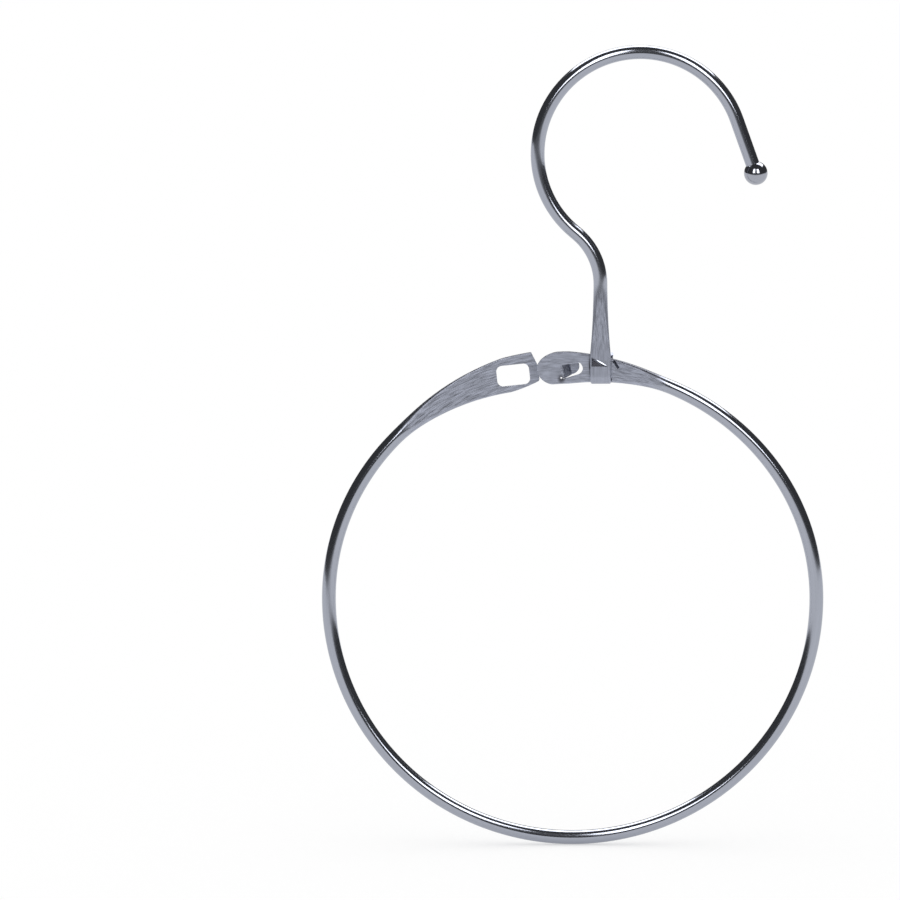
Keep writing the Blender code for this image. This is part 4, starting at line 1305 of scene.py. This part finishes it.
class HANGER_OT_studio(Operator):
    """Set the white table, the dark screens, the window lights and the camera"""
    bl_idname = "hanger.studio"
    bl_label = "Studio"

    def execute(self, context):
        studio = context.scene.hanger_studio
        self.middle_x = ring_centre().x
        self.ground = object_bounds()[0].z - studio.table_gap
        self.make_world(context.scene)
        self.make_table(studio)
        self.make_screens(studio)
        self.make_lights(studio)
        self.make_camera(context.scene, studio)
        context.scene.view_settings.view_transform = "Standard"
        return {"FINISHED"}

    def make_world(self, scene):
        world = bpy.data.worlds.new("white_surround")
        world.use_nodes = True
        background = world.node_tree.nodes["Background"]
        background.inputs["Color"].default_value = (1, 1, 1, 1)
        background.inputs["Strength"].default_value = 1
        scene.world = world

    def plane(self, name, corner, across, along):
        """Rectangle from a corner and its two sides."""
        mesh_data = bmesh.new()
        bmesh.ops.create_grid(mesh_data, x_segments=1, y_segments=1, size=0.5)
        place = Matrix((across, along, across.cross(along).normalized())).transposed().to_4x4()
        place.translation = corner + (across + along) / 2
        bmesh.ops.transform(mesh_data, matrix=place, verts=mesh_data.verts)
        piece = new_object(name, mesh_data)
        piece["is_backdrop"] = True
        return piece

    def make_table(self, studio):
        """White table that glows a little, so that it is white and keeps only a faint shadow."""
        corner = Vector((self.middle_x - studio.table_side, -studio.table_front, self.ground))
        table = self.plane("table", corner, X_AXIS * 2 * studio.table_side,
                           Y_AXIS * (studio.table_front + studio.table_back))
        finish = Finish("white_table")
        finish.feed(finish.shader, {"Base Color": (1, 1, 1, 1), "Roughness": 1, "Specular IOR Level": 0})
        glow = finish.add("ShaderNodeEmission", "Emission", {"Strength": 1})
        shown = finish.math("MULTIPLY", finish.shown_rays(), studio.table_glow)
        inputs = {"Fac": shown, 1: finish.shader.outputs["BSDF"], 2: glow}
        surface = finish.add("ShaderNodeMixShader", "Shader", inputs)
        finish.feed(finish.nodes["Material Output"], {"Surface": surface})
        table.data.materials.append(finish.material)

    def make_screens(self, studio):
        """Dark screens all round and overhead, and a grey floor, which only shiny surfaces see."""
        wide, deep, tall = studio.room_half, studio.room_half, studio.room_height
        foot = Vector((self.middle_x - wide, -deep, self.ground - studio.table_gap))
        across, along, up = X_AXIS * 2 * wide, Y_AXIS * 2 * deep, Vector((0, 0, tall))
        walls = [self.plane("front_screen", foot, across, up),
                 self.plane("back_screen", foot + along, across, up),
                 self.plane("left_screen", foot, along, up),
                 self.plane("right_screen", foot + across, along, up),
                 self.plane("upper_screen", foot + up, across, along)]
        floor = self.plane("grey_floor", foot, across, along)
        grey, dark = self.grey_floor(studio), self.even_glow("dark_screen", studio.screen_light)
        for screen, finish in [(floor, grey)] + [(wall, dark) for wall in walls]:
            screen.data.materials.append(finish.material)
            screen.visible_camera = False
            screen.visible_diffuse = False
            screen.visible_shadow = False

    def even_glow(self, name, strength):
        """Even tone that doesn't depend on the lights."""
        finish = Finish(name)
        finish.feed(finish.shader, {"Base Color": (0, 0, 0, 1), "Specular IOR Level": 0,
                                    "Emission Color": (1, 1, 1, 1), "Emission Strength": strength})
        return finish

    def grey_floor(self, studio):
        """Floor that darkens gradually, from white at the table's front edge."""
        finish = self.even_glow("grey_floor", studio.floor_light)
        depth = finish.add("ShaderNodeSeparateXYZ", "Y", {"Vector": finish.place()})
        span = (-studio.table_front, -studio.table_front - studio.floor_fade)
        glow = finish.map_range(depth, span, (1, studio.floor_light))
        finish.feed(finish.shader, {"Emission Strength": glow})
        return finish

    def make_lights(self, studio):
        """Two tall windows in front, a little apart, and a soft panel overhead towards the back."""
        heights = studio.window_heights
        for name, sides in (("left_window", studio.left_window), ("right_window", studio.right_window)):
            place = (sum(sides) / 2, -studio.window_distance, sum(heights) / 2)
            self.light(name, place, (pi / 2, 0, 0), sides, heights, studio.window_light)
        sides, depths = studio.panel_sides, studio.panel_depths
        place = (sum(sides) / 2, sum(depths) / 2, studio.panel_height)
        self.light("top_panel", place, (0, 0, 0), sides, depths, studio.panel_light)

    def light(self, name, place, turn, across, along, brightness):
        """Rectangular light over two spans that the metal sees at a brightness, where 1 is white."""
        light = bpy.data.lights.new(name, "AREA")
        light.shape = "RECTANGLE"
        light.size = across[1] - across[0]
        light.size_y = along[1] - along[0]
        light.energy = brightness * pi * light.size * light.size_y
        lamp = bpy.data.objects.new(name, light)
        lamp.location = place
        lamp.rotation_euler = turn
        lamp.visible_camera = False
        lamp.visible_diffuse = False
        bpy.context.scene.collection.objects.link(lamp)

    def make_camera(self, scene, studio):
        camera = bpy.data.cameras.new("camera")
        camera.sensor_width = 36
        camera.lens = camera.sensor_width * studio.distance / studio.picture_width
        camera.clip_start = 0.05
        camera.clip_end = 30
        holder = bpy.data.objects.new("camera", camera)
        view = Vector((0, cos(studio.elevation), -sin(studio.elevation)))
        target = Vector((studio.middle_x, 0, studio.middle_up / cos(studio.elevation)))
        holder.location = target - view * studio.distance
        holder.rotation_euler = view.to_track_quat("-Z", "Y").to_euler()
        scene.collection.objects.link(holder)
        scene.camera = holder


STEPS = ("tongue_end", "flexing_wire", "slotted_end", "hook", "ball", "studio")


class HANGER_PT_sidebar(Panel):
    """Steps and sizes of the belt ring hanger"""
    bl_idname = "HANGER_PT_sidebar"
    bl_label = "Belt Ring Hanger"
    bl_space_type = "VIEW_3D"
    bl_region_type = "UI"
    bl_category = "Hanger"

    def draw(self, context):
        for step in STEPS:
            self.layout.operator(f"hanger.{step}")
        for group_name in GROUPS:
            group = getattr(context.scene, group_name)
            box = self.layout.box()
            for name in group.__annotations__:
                box.prop(group, name)


GROUPS = {
    "hanger_ring": RingSizes,
    "hanger_tongue_plate": TonguePlateSizes,
    "hanger_slotted_plate": SlottedPlateSizes,
    "hanger_hook": HookSizes,
    "hanger_strap": StrapSizes,
    "hanger_finish": FinishLooks,
    "hanger_studio": StudioLooks,
}

OPERATORS = (HANGER_OT_tongue_end, HANGER_OT_flexing_wire, HANGER_OT_slotted_end, HANGER_OT_hook,
             HANGER_OT_ball, HANGER_OT_studio)


def register():
    for name, group in GROUPS.items():
        bpy.utils.register_class(group)
        setattr(bpy.types.Scene, name, PointerProperty(type=group))
    for operator in OPERATORS:
        bpy.utils.register_class(operator)
    bpy.utils.register_class(HANGER_PT_sidebar)


def unregister():
    bpy.utils.unregister_class(HANGER_PT_sidebar)
    for operator in reversed(OPERATORS):
        bpy.utils.unregister_class(operator)
    for name, group in GROUPS.items():
        delattr(bpy.types.Scene, name)
        bpy.utils.unregister_class(group)


def main():
    register()
    for step in STEPS:
        getattr(bpy.ops.hanger, step)()


if __name__ == "__main__":
    main()
